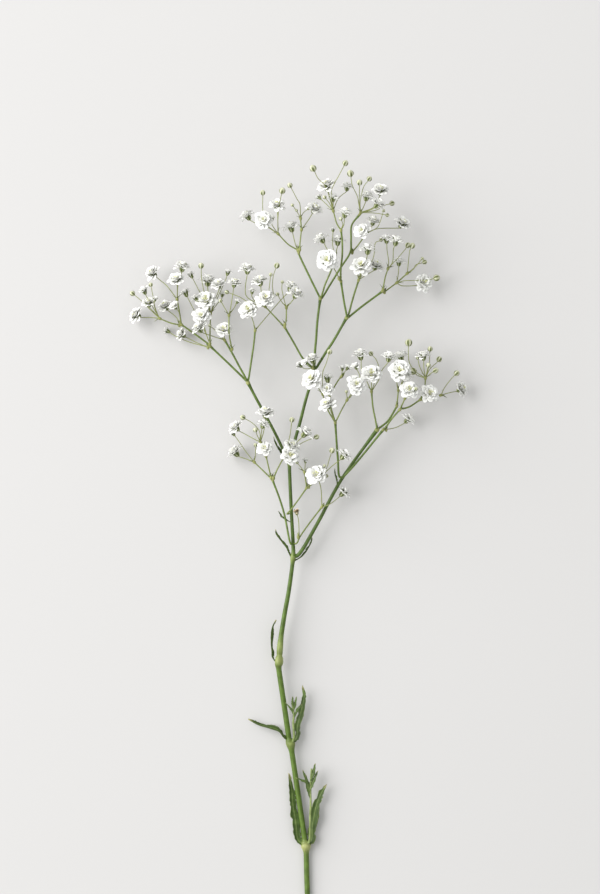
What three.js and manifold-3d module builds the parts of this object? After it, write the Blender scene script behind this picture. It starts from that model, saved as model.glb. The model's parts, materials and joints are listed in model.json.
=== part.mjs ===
// A cut sprig of baby's breath lying on a table.
// Millimetres. +Y runs up the stem from its cut end, +X is to the right, +Z is up from the table.
// The stem, the branches, the leaves and each flower cluster are separate closed solids.
import * as THREE from "three";
import { mergeVertices } from "three/addons/utils/BufferGeometryUtils.js";
import Module from "manifold-3d";

const wasm = await Module();
wasm.setup();

// ---- driving dimensions -------------------------------------------------------------------------
const ORIGIN = [-0.6, 147.3, 0];      // middle of the outline, on the table
const STEM_RADIUS = 1.08;             // main stem near its cut end
const JOINT_RADIUS = 1.75;            // swollen joints that carry the leaves
const JOINT_HALF_LENGTH = 2.2;
const TWIG_RADIUS = 0.33;             // first stalks of a cluster
const FORK_RADIUS = 0.28;             // where such a stalk forks
const STALK_RADIUS = 0.24;            // the thread that carries one head
const KNUCKLE_SWELL = 1.5;            // a fork is this much thicker than its stalk
const STEM_SIDES = 8;
const BRANCH_SIDES = 6;
const TWIG_SIDES = 5;
const STALK_SIDES = 3;
const HEAD_SIDES = 5;
const LEAF_THICKNESS = 0.45;

const MATERIALS = {
  stem: new THREE.MeshStandardMaterial({ color: 0x7c9650, roughness: 0.55, metalness: 0 }),
  leaf: new THREE.MeshStandardMaterial({ color: 0x3f5f33, roughness: 0.6, metalness: 0 }),
  blossom: new THREE.MeshStandardMaterial({ color: 0xf2f1e8, roughness: 0.8, metalness: 0 }),
};

// Each head's profile from the end of its stalk: [radius, height], in units of the head's radius.
// "reach" is the distance from the end of the stalk to the head's middle.
const HEADS = {
  open: { reach: 1.25, profile: [[0, 0], [0.42, 0.55], [1, 1.2], [0, 1.7]] },
  half: { reach: 1.3, profile: [[0, 0], [0.6, 0.6], [0.85, 1.7], [0, 2.3]] },
  bud: { reach: 1.0, profile: [[0, 0], [0.8, 0.5], [0.85, 1.3], [0, 2.05]] },
};

// ---- shape helpers ------------------------------------------------------------------------------
const vector = ([x, y, z]) => new THREE.Vector3(x, y, z);

function toSolid(geometry) {
  const bare = geometry.clone();
  bare.deleteAttribute("normal");
  bare.deleteAttribute("uv");
  const merged = mergeVertices(bare, 1e-4);
  const corners = merged.index.array;
  const kept = [];
  for (let i = 0; i < corners.length; i += 3) {
    const [a, b, c] = [corners[i], corners[i + 1], corners[i + 2]];
    if (a !== b && b !== c && c !== a) kept.push(a, b, c);
  }
  return new wasm.Manifold(new wasm.Mesh({
    numProp: 3,
    vertProperties: new Float32Array(merged.attributes.position.array),
    triVerts: new Uint32Array(kept),
  }));
}

function toGeometry(solid) {
  const mesh = solid.getMesh();
  const geometry = new THREE.BufferGeometry();
  geometry.setAttribute("position", new THREE.BufferAttribute(mesh.vertProperties, 3));
  geometry.setIndex(new THREE.BufferAttribute(mesh.triVerts, 1));
  geometry.computeVertexNormals();
  return geometry;
}

// A tube of a regular section along a smooth route. radiusAt(u) tapers it from u = 0 to u = 1.
function tube(points, radiusAt, sides, steps) {
  const widest = 0.3;
  const section = new THREE.Shape();
  for (let i = 0; i < sides; i += 1) {
    const angle = (2 * Math.PI * i) / sides;
    const [x, y] = [widest * Math.cos(angle), widest * Math.sin(angle)];
    if (i === 0) section.moveTo(x, y);
    else section.lineTo(x, y);
  }
  const path = new THREE.CatmullRomCurve3(points.map(vector), false, "centripetal");
  const geometry = new THREE.ExtrudeGeometry(section, {
    extrudePath: path, steps, bevelEnabled: false,
  });
  const middles = path.getSpacedPoints(steps);
  const place = geometry.attributes.position;
  const corner = new THREE.Vector3();
  for (let i = 0; i < place.count; i += 1) {
    corner.fromBufferAttribute(place, i);
    let nearest = 0;
    middles.forEach((middle, k) => {
      if (middle.distanceTo(corner) < middles[nearest].distanceTo(corner)) nearest = k;
    });
    const grow = radiusAt(nearest / steps) / widest;
    corner.sub(middles[nearest]).multiplyScalar(grow).add(middles[nearest]);
    place.setXYZ(i, corner.x, corner.y, corner.z);
  }
  return toSolid(geometry);
}

const taper = (from, to) => (u) => from + (to - from) * u;

// A leaf: a thin strip bent along a route and narrowed to its ends. "roll" turns the blade about the
// route, in degrees.
function blade(points, width, roll) {
  const rows = 6;
  const strip = new THREE.BoxGeometry(1, 1, LEAF_THICKNESS, 1, rows, 1);
  const fullness = (u) => 0.25 + 0.75 * Math.sin(Math.PI * (0.08 + 0.84 * u)) * (1 - 0.7 * u ** 4);
  const path = new THREE.CatmullRomCurve3(points.map(vector), false, "centripetal");
  const place = strip.attributes.position;
  const turn = THREE.MathUtils.degToRad(roll);
  for (let i = 0; i < place.count; i += 1) {
    const u = place.getY(i) + 0.5;
    const across = place.getX(i) * width * fullness(u);
    const depth = place.getZ(i);
    const along = path.getTangentAt(u);
    const side = new THREE.Vector3(0, 0, 1).cross(along).normalize();
    side.applyAxisAngle(along, turn);
    const face = side.clone().cross(along);
    const spot = path.getPointAt(u).addScaledVector(side, across).addScaledVector(face, depth);
    place.setXYZ(i, spot.x, spot.y, spot.z);
  }
  return toSolid(strip);
}

// ---- stalks and heads ---------------------------------------------------------------------------
// Gives every point of a route its height: a point may state one, and the rest rise evenly between.
function rise(start, points, endHeight) {
  const route = [start, ...points.map((point) => [...point])];
  const last = route[route.length - 1];
  if (last.length < 3) last.push(endHeight);
  let known = 0;
  for (let k = 1; k < route.length; k += 1) {
    if (route[k].length < 3) continue;
    const span = [0];
    for (let i = known + 1; i <= k; i += 1) {
      const step = Math.hypot(route[i][0] - route[i - 1][0], route[i][1] - route[i - 1][1]);
      span.push(span[span.length - 1] + step);
    }
    for (let i = known + 1; i < k; i += 1) {
      const share = span[i - known] / span[span.length - 1];
      route[i].push(route[known][2] + share * (route[k][2] - route[known][2]));
    }
    known = k;
  }
  return route;
}

// The last point of a head's route is its middle. The stalk ends one reach short of it. A head whose
// middle is less than a reach away in plan looks up by the difference.
function seatHead(kind, radius, route) {
  const { reach } = HEADS[kind];
  const length = reach * radius;
  const stalk = route.map(vector);
  const middle = stalk.pop();
  let base = stalk[stalk.length - 1];
  const gap = Math.hypot(middle.x - base.x, middle.y - base.y);
  if (gap > 1.3 * length) {
    const back = base.clone().sub(middle).normalize();
    base = middle.clone().addScaledVector(back, length);
    stalk.push(base);
  } else {
    middle.z = base.z + Math.sqrt(Math.max(length ** 2 - gap ** 2, 0));
  }
  const axis = middle.sub(base).normalize();
  stalk.push(base.clone().addScaledVector(axis, 0.3 * length));
  return { stalk: stalk.map((point) => point.toArray()), base, axis };
}

function headSolid(kind, radius, base, axis) {
  const profile = HEADS[kind].profile.map(([r, h]) => new THREE.Vector2(r * radius, h * radius));
  const geometry = new THREE.LatheGeometry(profile, HEAD_SIDES);
  const turn = new THREE.Quaternion().setFromUnitVectors(new THREE.Vector3(0, 1, 0), axis);
  geometry.applyQuaternion(turn);
  geometry.translate(base.x, base.y, base.z);
  return toSolid(geometry);
}

function knuckle(point, radius) {
  const geometry = new THREE.OctahedronGeometry(radius);
  geometry.translate(...point);
  return toSolid(geometry);
}

// A flower cluster, joined in one solid. It starts at the point "root", or at the end of its own
// "stem", which is [first radius, last radius, route]. forks: name -> [parent, height, ...route].
// heads: [fork, kind, radius, height, ...route].
function cluster({ root, stem, forks = {}, heads }) {
  const places = { root: root ?? stem[2].at(-1) };
  const solids = [knuckle(places.root, TWIG_RADIUS * KNUCKLE_SWELL)];
  if (stem) {
    const [first, last, route] = stem;
    solids.push(tube(route, taper(first, last), TWIG_SIDES, route.length));
  }
  Object.entries(forks).forEach(([name, [parent, height, ...points]]) => {
    const route = rise(places[parent], points, height);
    places[name] = route[route.length - 1];
    solids.push(tube(route, taper(TWIG_RADIUS, FORK_RADIUS), STALK_SIDES, route.length));
    solids.push(knuckle(places[name], TWIG_RADIUS * KNUCKLE_SWELL));
  });
  heads.forEach(([fork, kind, radius, height, ...points]) => {
    const route = rise(places[fork], points, height);
    const { stalk, base, axis } = seatHead(kind, radius, route);
    const steps = Math.min(3, stalk.length);
    solids.push(tube(stalk, taper(STALK_RADIUS, STALK_RADIUS), STALK_SIDES, steps));
    solids.push(headSolid(kind, radius, base, axis));
  });
  return wasm.Manifold.union(solids);
}

// ---- main stem ----------------------------------------------------------------------------------
const STEM_ROUTE = [
  [3, 0, 1.15], [2.7, 10, 1.4], [2.4, 20.4, 1.8], [1.8, 24, 1.9], [-0.8, 42, 2.4], [-3.2, 58, 2.9],
  [-3.7, 61.4, 3], [-4.4, 64, 3.1], [-6.6, 79, 3.8], [-8.5, 92, 4.3], [-8.4, 95, 4.5], [-7.7, 104, 5],
  [-6.2, 114, 5.5], [-4.4, 124, 6], [-2.8, 136.5, 6.5], [-2.8, 143, 7], [-3.4, 154, 8],
  [-4.2, 172, 9.4], [-4, 176, 9.6], [-2, 184, 10.4], [0, 191, 11.3], [2.3, 200, 12.2], [4.4, 207, 12.8],
  [5.4, 212, 13],
];
const JOINT_HEIGHTS = [20.6, 61.6, 94.8];     // along Y
const FORK_HEIGHTS = [136.8, 175.8];

function mainStem() {
  const steps = 42;
  const path = new THREE.CatmullRomCurve3(STEM_ROUTE.map(vector), false, "centripetal");
  const swell = (y, at, half, size) => size * Math.exp(-(((y - at) / half) ** 2));
  const radiusAt = (u) => {
    const y = path.getPointAt(u).y;
    let radius = STEM_RADIUS * (y < 90 ? 1 : 1 - 0.36 * Math.min(1, (y - 90) / 60));
    if (y > 175) radius -= 0.12 * Math.min(1, (y - 175) / 35);
    JOINT_HEIGHTS.forEach((at) => {
      radius += swell(y, at, JOINT_HALF_LENGTH, JOINT_RADIUS - STEM_RADIUS);
    });
    FORK_HEIGHTS.forEach((at) => {
      radius += swell(y, at, 1.6, 0.35);
    });
    return radius;
  };
  return tube(STEM_ROUTE, radiusAt, STEM_SIDES, steps);
}

// ---- branches: name -> [first radius, last radius, route] ---------------------------------------
const BRANCHES = {
  branch_right: [0.8, 0.6, [[-1.1, 137.6, 6.6], [1.2, 140.4, 6.8], [4, 145.2, 7.1], [8, 152.4, 7.6],
    [12, 160, 8.1], [16, 167.2, 8.6], [20, 173.2, 9.1], [24, 178.8, 9.5], [30.8, 188, 10]]],
  branch_right_inner: [0.5, 0.42, [[17.3, 169.2, 10.1], [21.4, 173.6, 11], [25.6, 178.6, 11.6],
    [33.2, 188, 12]]],
  branch_left: [0.6, 0.55, [[-5.6, 178, 9.9], [-9.2, 185.2, 10.2], [-12, 190.6, 10.5],
    [-17.2, 200, 10.8], [-20.8, 206.9, 11]]],
  branch_left_outer: [0.45, 0.4, [[-21.9, 208.1, 11], [-29, 215, 10], [-36, 221.6, 9.1]]],
  branch_crown_middle: [0.5, 0.46, [[5.7, 213.1, 13.2], [6, 219.6, 13.6], [6.4, 224, 13.8],
    [7, 232, 14.4], [8.1, 240.4, 15]]],
  branch_crown_right: [0.55, 0.5, [[6.6, 213, 13], [10.2, 218.8, 13.2], [13.6, 224, 13.4],
    [18.6, 232.8, 14]]],
  branch_top_left: [0.42, 0.38, [[7.7, 241.3, 15.1], [4, 248.8, 14.6], [0, 257.2, 14.1],
    [-0.5, 258.9, 14]]],
  branch_top_right: [0.42, 0.36, [[9, 241, 14.6], [12, 246, 13.6], [16.2, 252.8, 13.2],
    [20, 258.8, 13.8], [20.4, 264, 15], [20.6, 269.6, 16.4], [23.7, 273.8, 17.5]]],
  branch_eye: [0.42, 0.4, [[18.6, 233.9, 14.8], [17.6, 239, 16], [16.3, 247.3, 18]]],
  branch_shoulder: [0.45, 0.4, [[19.6, 233.2, 13.2], [24, 236.8, 13], [28, 239.8, 12.6],
    [32.9, 243.4, 12]]],
};

// ---- leaves and bracts: name -> [width, roll, route] --------------------------------------------
const LEAVES = {
  leaf_lowest_left: [2.6, 25, [[-0.9, 23.2, 1.6], [-1.8, 30, 1.5], [-2.9, 37, 1.5], [-3.4, 43.2, 1.7],
    [-4.7, 50, 2.6]]],
  leaf_lowest_right: [2.6, -20, [[4.8, 23.4, 1.5], [5, 28, 1.6], [6.4, 36, 2], [8.4, 41.4, 2.6],
    [10.8, 45.6, 3.4]]],
  leaf_second_left: [1.8, 78, [[-6.4, 64.4, 3], [-8.6, 67, 2.8], [-13, 68.4, 2.4], [-17, 69.6, 2.3],
    [-20.8, 71.8, 3]]],
  leaf_second_right: [1.9, -25, [[-1.2, 64.4, 2.2], [-0.9, 68.8, 2.2], [0.6, 75, 2.4], [1.8, 80.8, 2.8],
    [1.1, 85.4, 3.4]]],
  leaf_third_left: [1.1, 60, [[-10.9, 96.4, 4.3], [-11.2, 99, 4], [-11.5, 104.4, 4], [-11.1, 108.8, 4.4],
    [-9.6, 111.8, 5.2]]],
  bract_fork_left: [0.9, 50, [[-4.2, 138.2, 6.2], [-5.2, 140.6, 6.2], [-7.6, 143.8, 6.4],
    [-9.6, 146.4, 6.8], [-9.8, 148.2, 7.4]]],
  bract_fork_right: [0.9, -60, [[0.4, 137, 5.6], [2, 138.8, 5.4], [3.8, 141.6, 5.4], [4.8, 143.8, 5.6],
    [4.7, 145, 6]]],
  bract_left_fork: [0.8, 50, [[-6, 176.2, 9], [-8, 179.6, 8.8], [-9.9, 182.8, 9], [-10.6, 185.4, 9.4]]],
  bract_low_left: [0.6, 40, [[-7.1, 153, 8.4], [-7.9, 154.2, 8.4], [-8.8, 155.6, 8.8]]],
  bract_right_fork: [0.6, 40, [[14.6, 168.4, 8.6], [14, 170.6, 8.4], [13.9, 172.8, 8.9]]],
};

// ---- young side shoots: one stalk with its own small leaves -------------------------------------
const SHOOTS = {
  side_shoot_lower: {
    stalk: [[3.9, 23.4, 3.7], [4.1, 32.8, 3.9], [4.3, 38, 4.2], [4.2, 44.8, 4.6], [4.6, 52, 5.2]],
    leaflets: [
      [1.1, [[4.2, 42, 4.4], [2.8, 46.6, 4.8], [1.1, 51.6, 5]]],
      [1.2, [[4.1, 40, 4.3], [2.9, 45, 4.8], [2.3, 49.6, 5.4]]],
      [0.8, [[4.2, 43.6, 4.5], [2.2, 46.6, 5], [-1.8, 48.4, 5.2]]],
      [1.1, [[4.2, 43.4, 4.5], [5.4, 47, 4.9], [7.3, 51.3, 5.2]]],
      [1.1, [[4.4, 47.4, 4.9], [5.4, 50.4, 5.2], [6.2, 54.2, 5.4]]],
    ],
  },
  side_shoot_upper: {
    stalk: [[-2.4, 64.4, 4.9], [-2.7, 70, 5], [-2.5, 73.8, 5.2], [-3, 77.4, 5.4]],
    leaflets: [
      [0.7, [[-2.6, 74, 5.2], [-3.9, 76.4, 5.5], [-5.8, 78.6, 5.6]]],
      [0.8, [[-2.5, 72.4, 5.1], [-1.1, 75.6, 5.4], [0.8, 77.9, 5.6]]],
      [0.9, [[-2.8, 75.6, 5.3], [-3, 78.6, 5.7], [-2.9, 81.1, 5.9]]],
      [0.9, [[-2.7, 75.2, 5.3], [-2, 78, 5.5], [-1.3, 81.1, 5.6]]],
    ],
  },
};

function shoot({ stalk, leaflets }) {
  const solids = [tube(stalk, taper(0.42, 0.3), TWIG_SIDES, 4)];
  leaflets.forEach(([width, route]) => solids.push(blade(route, width, 20)));
  return wasm.Manifold.union(solids);
}

// ---- flower clusters ----------------------------------------------------------------------------
const CLUSTERS = {
  cluster_top_left: {
    root: [-0.9, 259.9, 14],
    forks: { a: ["root", 15, [-4.8, 262.2], [-8.8, 266.4]] },
    heads: [
      ["a", "open", 2.8, 9, [-12.8, 269.2], [-16.8, 270.4], [-20, 272], [-21.8, 275]],
      ["a", "bud", 1.1, 20, [-13.8, 270.2], [-14.8, 275.5], [-14.8, 282.4]],
      ["a", "open", 3.4, 15, [-12.8, 269], [-14.6, 271], [-14.6, 272.2]],
      ["a", "half", 1.2, 13, [-11.2, 270], [-11.2, 272.8]],
      ["a", "open", 3, 18, [-8.8, 270], [-9, 275.6], [-9.2, 278.6]],
      ["a", "bud", 1.3, 23, [-8.8, 272], [-8.2, 278], [-7, 283]],
      ["root", "open", 3, 12, [-1.8, 262], [-3, 267], [-4, 270.8]],
    ],
  },
  cluster_top_left_inner: {
    root: [-0.1, 260.1, 14.9],
    forks: { a: ["root", 16, [0, 262.8], [0.6, 268]], b: ["a", 18, [0.2, 272.4]] },
    heads: [
      ["b", "bud", 1.1, 25, [0, 277.6], [-1.2, 279.8], [-4, 285]],
      ["b", "bud", 0.7, 21, [-1, 274.6], [-3, 277.4]],
      ["b", "bud", 0.6, 19.5, [-1.4, 275.4]],
      ["b", "bud", 0.6, 17, [1.4, 274.6], [3.4, 276.2]],
      ["a", "open", 3, 13, [3.2, 271.6], [5, 274.6], [6.4, 277.4]],
    ],
  },
  cluster_crown_peak: {
    stem: [0.38, 0.36, [[16.2, 248.5, 18.8], [16.3, 252.8, 19.6], [16.8, 257.2, 20.4],
      [16.8, 262.8, 21.4], [16.3, 267.4, 22.4]]],
    forks: { a: ["root", 24, [14.6, 270], [13.2, 275]] },
    heads: [
      ["a", "bud", 1.4, 27, [10.4, 284], [7.2, 287.6], [5.2, 291.6]],
      ["a", "open", 3.5, 21, [12, 280], [11.2, 282.8], [10, 286.6]],
      ["a", "bud", 1.2, 28, [12.4, 282], [13.6, 285.6], [15.2, 288.4], [18, 293.6]],
      ["a", "half", 1.2, 19, [9.8, 278.4], [7.4, 280.8]],
      ["a", "bud", 0.8, 26, [11.6, 278], [9.8, 280.2]],
      ["a", "open", 2.2, 17, [15.2, 280], [18.6, 283], [18.8, 286]],
      ["a", "open", 1.8, 24, [13.2, 278.4], [13.3, 281]],
      ["root", "open", 2.8, 26, [17.4, 269.4], [17.6, 272], [18, 275.6]],
      ["root", "bud", 0.8, 27, [17, 269.6], [16.2, 271.6]],
    ],
  },
  cluster_crown_centre: {
    stem: [0.36, 0.33, [[8.6, 241.5, 15.8], [10, 246, 16.5], [12.4, 251.6, 17.4], [14, 257.2, 18]]],
    heads: [
      ["root", "open", 2.8, 18, [11, 259.8], [9.6, 262.4], [7.8, 265.4]],
      ["root", "open", 2.8, 13.4, [14.6, 259.8], [15, 261.4], [15.2, 265]],
      ["root", "half", 1.1, 16.4, [13, 262], [13.2, 268.2]],
    ],
  },
  cluster_crown_eye: {
    root: [15.5, 248.4, 19.2],
    heads: [
      ["root", "open", 4.2, 23, [14.6, 250.4], [12.8, 253.2], [10.9, 255], [10.6, 256]],
    ],
  },
  cluster_top_right: {
    root: [24.1, 274.7, 17.8],
    heads: [
      ["root", "bud", 1.4, 24, [23.4, 278], [22.8, 281], [20.8, 285.2], [20, 289.8]],
      ["root", "bud", 1.2, 27, [23.6, 278], [23.6, 286]],
      ["root", "bud", 1.1, 22, [24, 279], [25.2, 284.4], [27.6, 287.8]],
      ["root", "open", 2.8, 20, [25.2, 276.6], [26.2, 279], [26.8, 283]],
      ["root", "open", 3.1, 15, [28.8, 276.4], [30.2, 278.6], [32, 281.6], [32.1, 284.8]],
      ["root", "open", 2.8, 24, [27, 275.2], [29.6, 276.2], [31.8, 278.8]],
      ["root", "bud", 1.1, 13, [30, 275.6], [34, 277.8], [36.8, 278.6]],
      ["root", "bud", 0.8, 18, [30, 274.4], [34.8, 273.6]],
    ],
  },
  cluster_top_right_low: {
    root: [20.9, 259.1, 12.6],
    forks: { a: ["root", 15, [23.6, 262.4], [26.4, 266.4]] },
    heads: [
      ["a", "open", 2.4, 19, [27.2, 267.6], [28.8, 269.4], [29.4, 272.2]],
      ["a", "open", 3.1, 9, [30.8, 268.4], [38, 268.8], [39.9, 268.9], [41.6, 271.8]],
      ["a", "bud", 0.7, 22, [30.4, 268.4], [31.8, 270.6], [33.2, 275.2]],
      ["a", "open", 2.8, 20, [25.2, 266.8], [24.4, 267.6]],
    ],
  },
  cluster_right_eye: {
    stem: [0.4, 0.36, [[19.3, 233.8, 14], [21.2, 240.8, 15.6], [23.4, 247.8, 17]]],
    heads: [
      ["root", "open", 4, 20, [24.4, 251.6], [24.2, 254.6]],
      ["root", "open", 2.8, 12, [26, 249.6], [29.6, 251.8], [30.8, 254.8]],
      ["root", "bud", 0.8, 16, [22.6, 251], [21.6, 252.8]],
      ["root", "open", 3.1, 22, [25.6, 253], [26.8, 257.6], [27.2, 261.6]],
      ["root", "bud", 0.8, 13, [29, 256], [30, 262.4], [32.4, 264]],
    ],
  },
  cluster_shoulder_up: {
    root: [33.2, 244.3, 12.8],
    forks: { a: ["root", 13.5, [34, 248.8], [35.2, 252.6]] },
    heads: [
      ["a", "half", 1.9, 17, [35.4, 255.4], [34.8, 259.2], [34.4, 264.6]],
      ["a", "open", 2.8, 20, [37, 255.2], [37.2, 260], [37.8, 261.2], [38.8, 264.8]],
      ["a", "bud", 1.2, 10, [38.8, 256.4], [42, 260.2], [43.2, 262]],
    ],
  },
  cluster_shoulder_out: {
    root: [33.8, 243.3, 11],
    forks: { a: ["root", 10, [38.8, 247]], b: ["a", 9, [43, 250.8]] },
    heads: [
      ["a", "open", 2.2, 7, [39.4, 250.8], [39.6, 253.6], [39.8, 256.4]],
      ["b", "bud", 1.2, 14, [43.4, 255.2], [43.8, 259.4], [44.9, 261.6]],
      ["b", "bud", 1, 7, [45.6, 252.6], [46.4, 254.2], [50, 255.4]],
      ["b", "bud", 0.7, 11, [46, 253.2], [49, 256.6]],
      ["a", "open", 3.4, 3.9, [41, 245.8], [46.4, 246], [48.4, 246.3], [50.4, 247.6]],
      ["a", "bud", 1.4, 8, [42, 247.8], [46.8, 248], [51.2, 248.2], [54.8, 249]],
    ],
  },
  cluster_left_far_up: {
    stem: [0.38, 0.34, [[-36.9, 222.6, 8.8], [-42, 226.4, 8.3], [-47.6, 230.3, 8]]],
    forks: { a: ["root", 11, [-48.3, 235.2], [-49.2, 240.4]] },
    heads: [
      ["a", "open", 3, 16, [-48.8, 246], [-48, 248.4], [-47.2, 251], [-46.8, 254.6]],
      ["a", "open", 3.1, 19, [-49, 244], [-49, 246], [-49.6, 249]],
      ["a", "open", 3, 7, [-53.2, 245.6], [-56, 248], [-57.6, 249.4], [-60, 251.8]],
      ["root", "open", 2.6, 3, [-50, 233.6], [-53.2, 236.2], [-54.6, 238.8]],
      ["root", "half", 1.7, 14, [-48.4, 235], [-50.4, 237.8]],
    ],
  },
  cluster_left_far_tip: {
    root: [-48.4, 230.2, 7.4],
    forks: { a: ["root", 7, [-52, 231], [-56.4, 232.8]] },
    heads: [
      ["a", "open", 3, 3.2, [-60, 233.2], [-64, 233.3], [-67, 234.9]],
      ["a", "open", 2.4, 10, [-59.2, 236], [-60.4, 237.2], [-60.8, 239.8]],
      ["a", "half", 1.8, 12, [-59.4, 238], [-61.4, 241.4], [-62.6, 244.2]],
      ["a", "bud", 1.1, 7, [-60.8, 237], [-63.8, 240], [-67.2, 242.8]],
      ["a", "bud", 0.9, 15, [-58, 237], [-58.8, 241.6], [-59.6, 246]],
      ["a", "half", 1.1, 13, [-57.6, 235.4], [-58.4, 238], [-57.8, 240.6]],
    ],
  },
  cluster_left_edge: {
    root: [-36.9, 221.3, 7.4],
    heads: [
      ["root", "open", 2.4, 2.7, [-41, 222.9], [-46, 225.4], [-48.4, 227]],
      ["root", "half", 1.5, 2.6, [-44, 223.2], [-50, 225.8], [-53.8, 228.2]],
    ],
  },
  cluster_left_middle: {
    root: [-36.1, 222.6, 9.9],
    forks: { a: ["root", 11, [-36, 228.8], [-35.8, 234.8]] },
    heads: [
      ["a", "open", 4, 14, [-37, 238], [-38, 240.8]],
      ["a", "half", 1.3, 9, [-33.4, 238.2], [-31.4, 240.6], [-31, 242.8]],
      ["a", "open", 2.4, 14, [-34, 240], [-32.2, 244.4], [-32.8, 247]],
      ["a", "half", 1.4, 11, [-31.8, 243.6], [-29.8, 248], [-28.8, 251.4]],
      ["a", "half", 1.5, 17, [-38.4, 237], [-40.8, 239.4], [-42.2, 241.4]],
      ["a", "half", 1.5, 12, [-38, 240], [-40.4, 243.8], [-43.8, 250.4]],
      ["a", "bud", 1.2, 19, [-38, 242], [-39.2, 248], [-39.4, 253.4]],
      ["a", "open", 3.4, 10, [-36.4, 240], [-37, 245.4], [-36.8, 249.6]],
      ["root", "open", 3.6, 14, [-37.4, 226], [-38.4, 229.8], [-39, 232], [-39.8, 234.4]],
      ["root", "half", 1.8, 8, [-38.8, 229], [-42, 235.2], [-43.8, 238.6], [-46.2, 243.4]],
    ],
  },
  cluster_left_under: {
    stem: [0.42, 0.4, [[-21.6, 208.5, 12.3], [-24.6, 214, 12.7], [-27.6, 219.6, 12.9],
      [-30.1, 223.9, 13.2]]],
    heads: [
      ["root", "open", 3, 16, [-30.5, 226.4], [-30.6, 229]],
      ["root", "open", 2.8, 20, [-34.8, 225.4], [-39, 226.8], [-41.2, 229.4]],
      ["root", "bud", 0.7, 18, [-33, 227], [-36, 229.6]],
    ],
  },
  cluster_left_centre: {
    root: [-27.2, 220.4, 14.2],
    forks: { a: ["root", 19, [-28.2, 226, 18], [-28.3, 233.8]] },
    heads: [
      ["a", "open", 2.4, 22, [-27.6, 236.8], [-26.8, 241.6], [-26, 247.4]],
      ["a", "bud", 0.8, 20, [-30, 236.6], [-31.6, 239.4]],
      ["a", "half", 1.1, 17, [-26.4, 236.4], [-24.8, 239.4]],
    ],
  },
  cluster_inner_eye: {
    stem: [0.42, 0.36, [[-20.6, 208.3, 11.6], [-19.4, 216, 12.8], [-18.5, 222, 14], [-17.9, 227.8, 15]]],
    heads: [
      ["root", "open", 3.7, 17, [-18.6, 231], [-19.8, 234.4], [-21, 236.6]],
      ["root", "open", 2.8, 11, [-12.4, 234.4], [-7.8, 239.8], [-4.4, 243.4], [-3, 247.2]],
    ],
  },
  cluster_inner_left: {
    stem: [0.42, 0.38, [[4.9, 213, 13.6], [1, 216.8, 14], [-2, 222, 14.6], [-6.1, 229, 16]]],
    forks: { a: ["root", 18.5, [-12.2, 235.4], [-14, 237.2]] },
    heads: [
      ["a", "half", 1.3, 20, [-17.6, 239], [-19.2, 241.2], [-19, 243.6]],
      ["a", "open", 3, 22, [-20.6, 240.4], [-21.8, 244], [-21, 249.8], [-20.8, 253.4]],
      ["a", "bud", 0.9, 15.5, [-20, 238.6], [-24, 241], [-29.2, 243]],
      ["a", "open", 3, 24, [-15, 239.4], [-15.6, 245], [-16.2, 248.6]],
      ["a", "open", 3.7, 19, [-13.8, 238.8], [-13.6, 241.2]],
      ["a", "bud", 0.8, 25, [-12.6, 242], [-11.6, 249.6]],
      ["a", "bud", 1.2, 20, [-10.8, 241], [-11, 245.2], [-10.6, 249.4], [-9.2, 253.4]],
    ],
  },
  cluster_inner_right: {
    root: [-6, 230, 17.6],
    forks: { a: ["root", 19, [-5.5, 232], [-5.4, 236.8]] },
    heads: [
      ["a", "bud", 0.7, 22, [-6.2, 239.4], [-7.2, 244], [-7, 246.8]],
      ["a", "open", 3, 22, [-4, 238.2], [-2.4, 240.2], [-1, 243.4]],
      ["a", "bud", 0.8, 20, [-7.4, 239.2], [-9, 242]],
    ],
  },
  cluster_heart_top: {
    root: [5.1, 212.6, 15],
    heads: [
      ["root", "open", 2.6, 17.6, [5.2, 214.4], [4.8, 217.6]],
      ["root", "half", 1.4, 16.2, [2, 212.4], [-0.6, 214]],
      ["root", "half", 1.2, 19, [3.4, 213.4], [1.8, 215]],
    ],
  },
  cluster_heart: {
    stem: [0.45, 0.42, [[15.6, 169.8, 9.9], [15.2, 176, 11], [14.8, 180.8, 12.4], [14.1, 190.9, 15]]],
    forks: {
      a: ["root", 17, [10.8, 196.6], [9, 202.4]],
      b: ["root", 14.6, [12.4, 197], [11.8, 202]],
      c: ["b", 14, [15, 207.4], [16.6, 209.4]],
      d: ["root", 16.5, [16.4, 195.6], [18.8, 200]],
    },
    heads: [
      ["a", "open", 4, 17.4, [5.6, 207], [4, 209.4]],
      ["a", "bud", 1.1, 23, [9, 210.4], [10.4, 214.4], [11.8, 219]],
      ["b", "half", 2, 12, [11.2, 205.4], [11, 209.2]],
      ["b", "open", 2, 19, [11.2, 203.4], [10.8, 204.6]],
      ["root", "open", 3.1, 18, [11.8, 196.6], [10.4, 199.2]],
      ["c", "half", 1.2, 15, [17, 213]],
      ["c", "half", 1.2, 11, [19.2, 213]],
      ["d", "bud", 0.7, 18.5, [18.5, 203.2]],
      ["d", "open", 3.7, 18, [21.2, 202.6], [22, 205.2], [22.5, 206.8]],
      ["d", "half", 1.5, 23, [22, 205], [23.8, 209], [22, 213.6]],
    ],
  },
  cluster_right_inner: {
    stem: [0.36, 0.32, [[30.7, 189.1, 11], [30.2, 192, 11.4], [29.2, 197, 11.8], [28.6, 203.4, 12]]],
    heads: [
      ["root", "open", 4, 16, [28.6, 208.6], [28.4, 211.4]],
      ["root", "open", 3.1, 11, [26, 209], [24.6, 212], [24.5, 215.8], [23.8, 219.6]],
      ["root", "bud", 1, 9, [31.4, 212], [30.6, 216], [28.4, 218.6]],
      ["root", "open", 2.8, 15, [31.6, 208.2], [32.6, 211.6], [35.2, 215], [35.8, 218.6]],
    ],
  },
  cluster_right_middle: {
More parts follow.
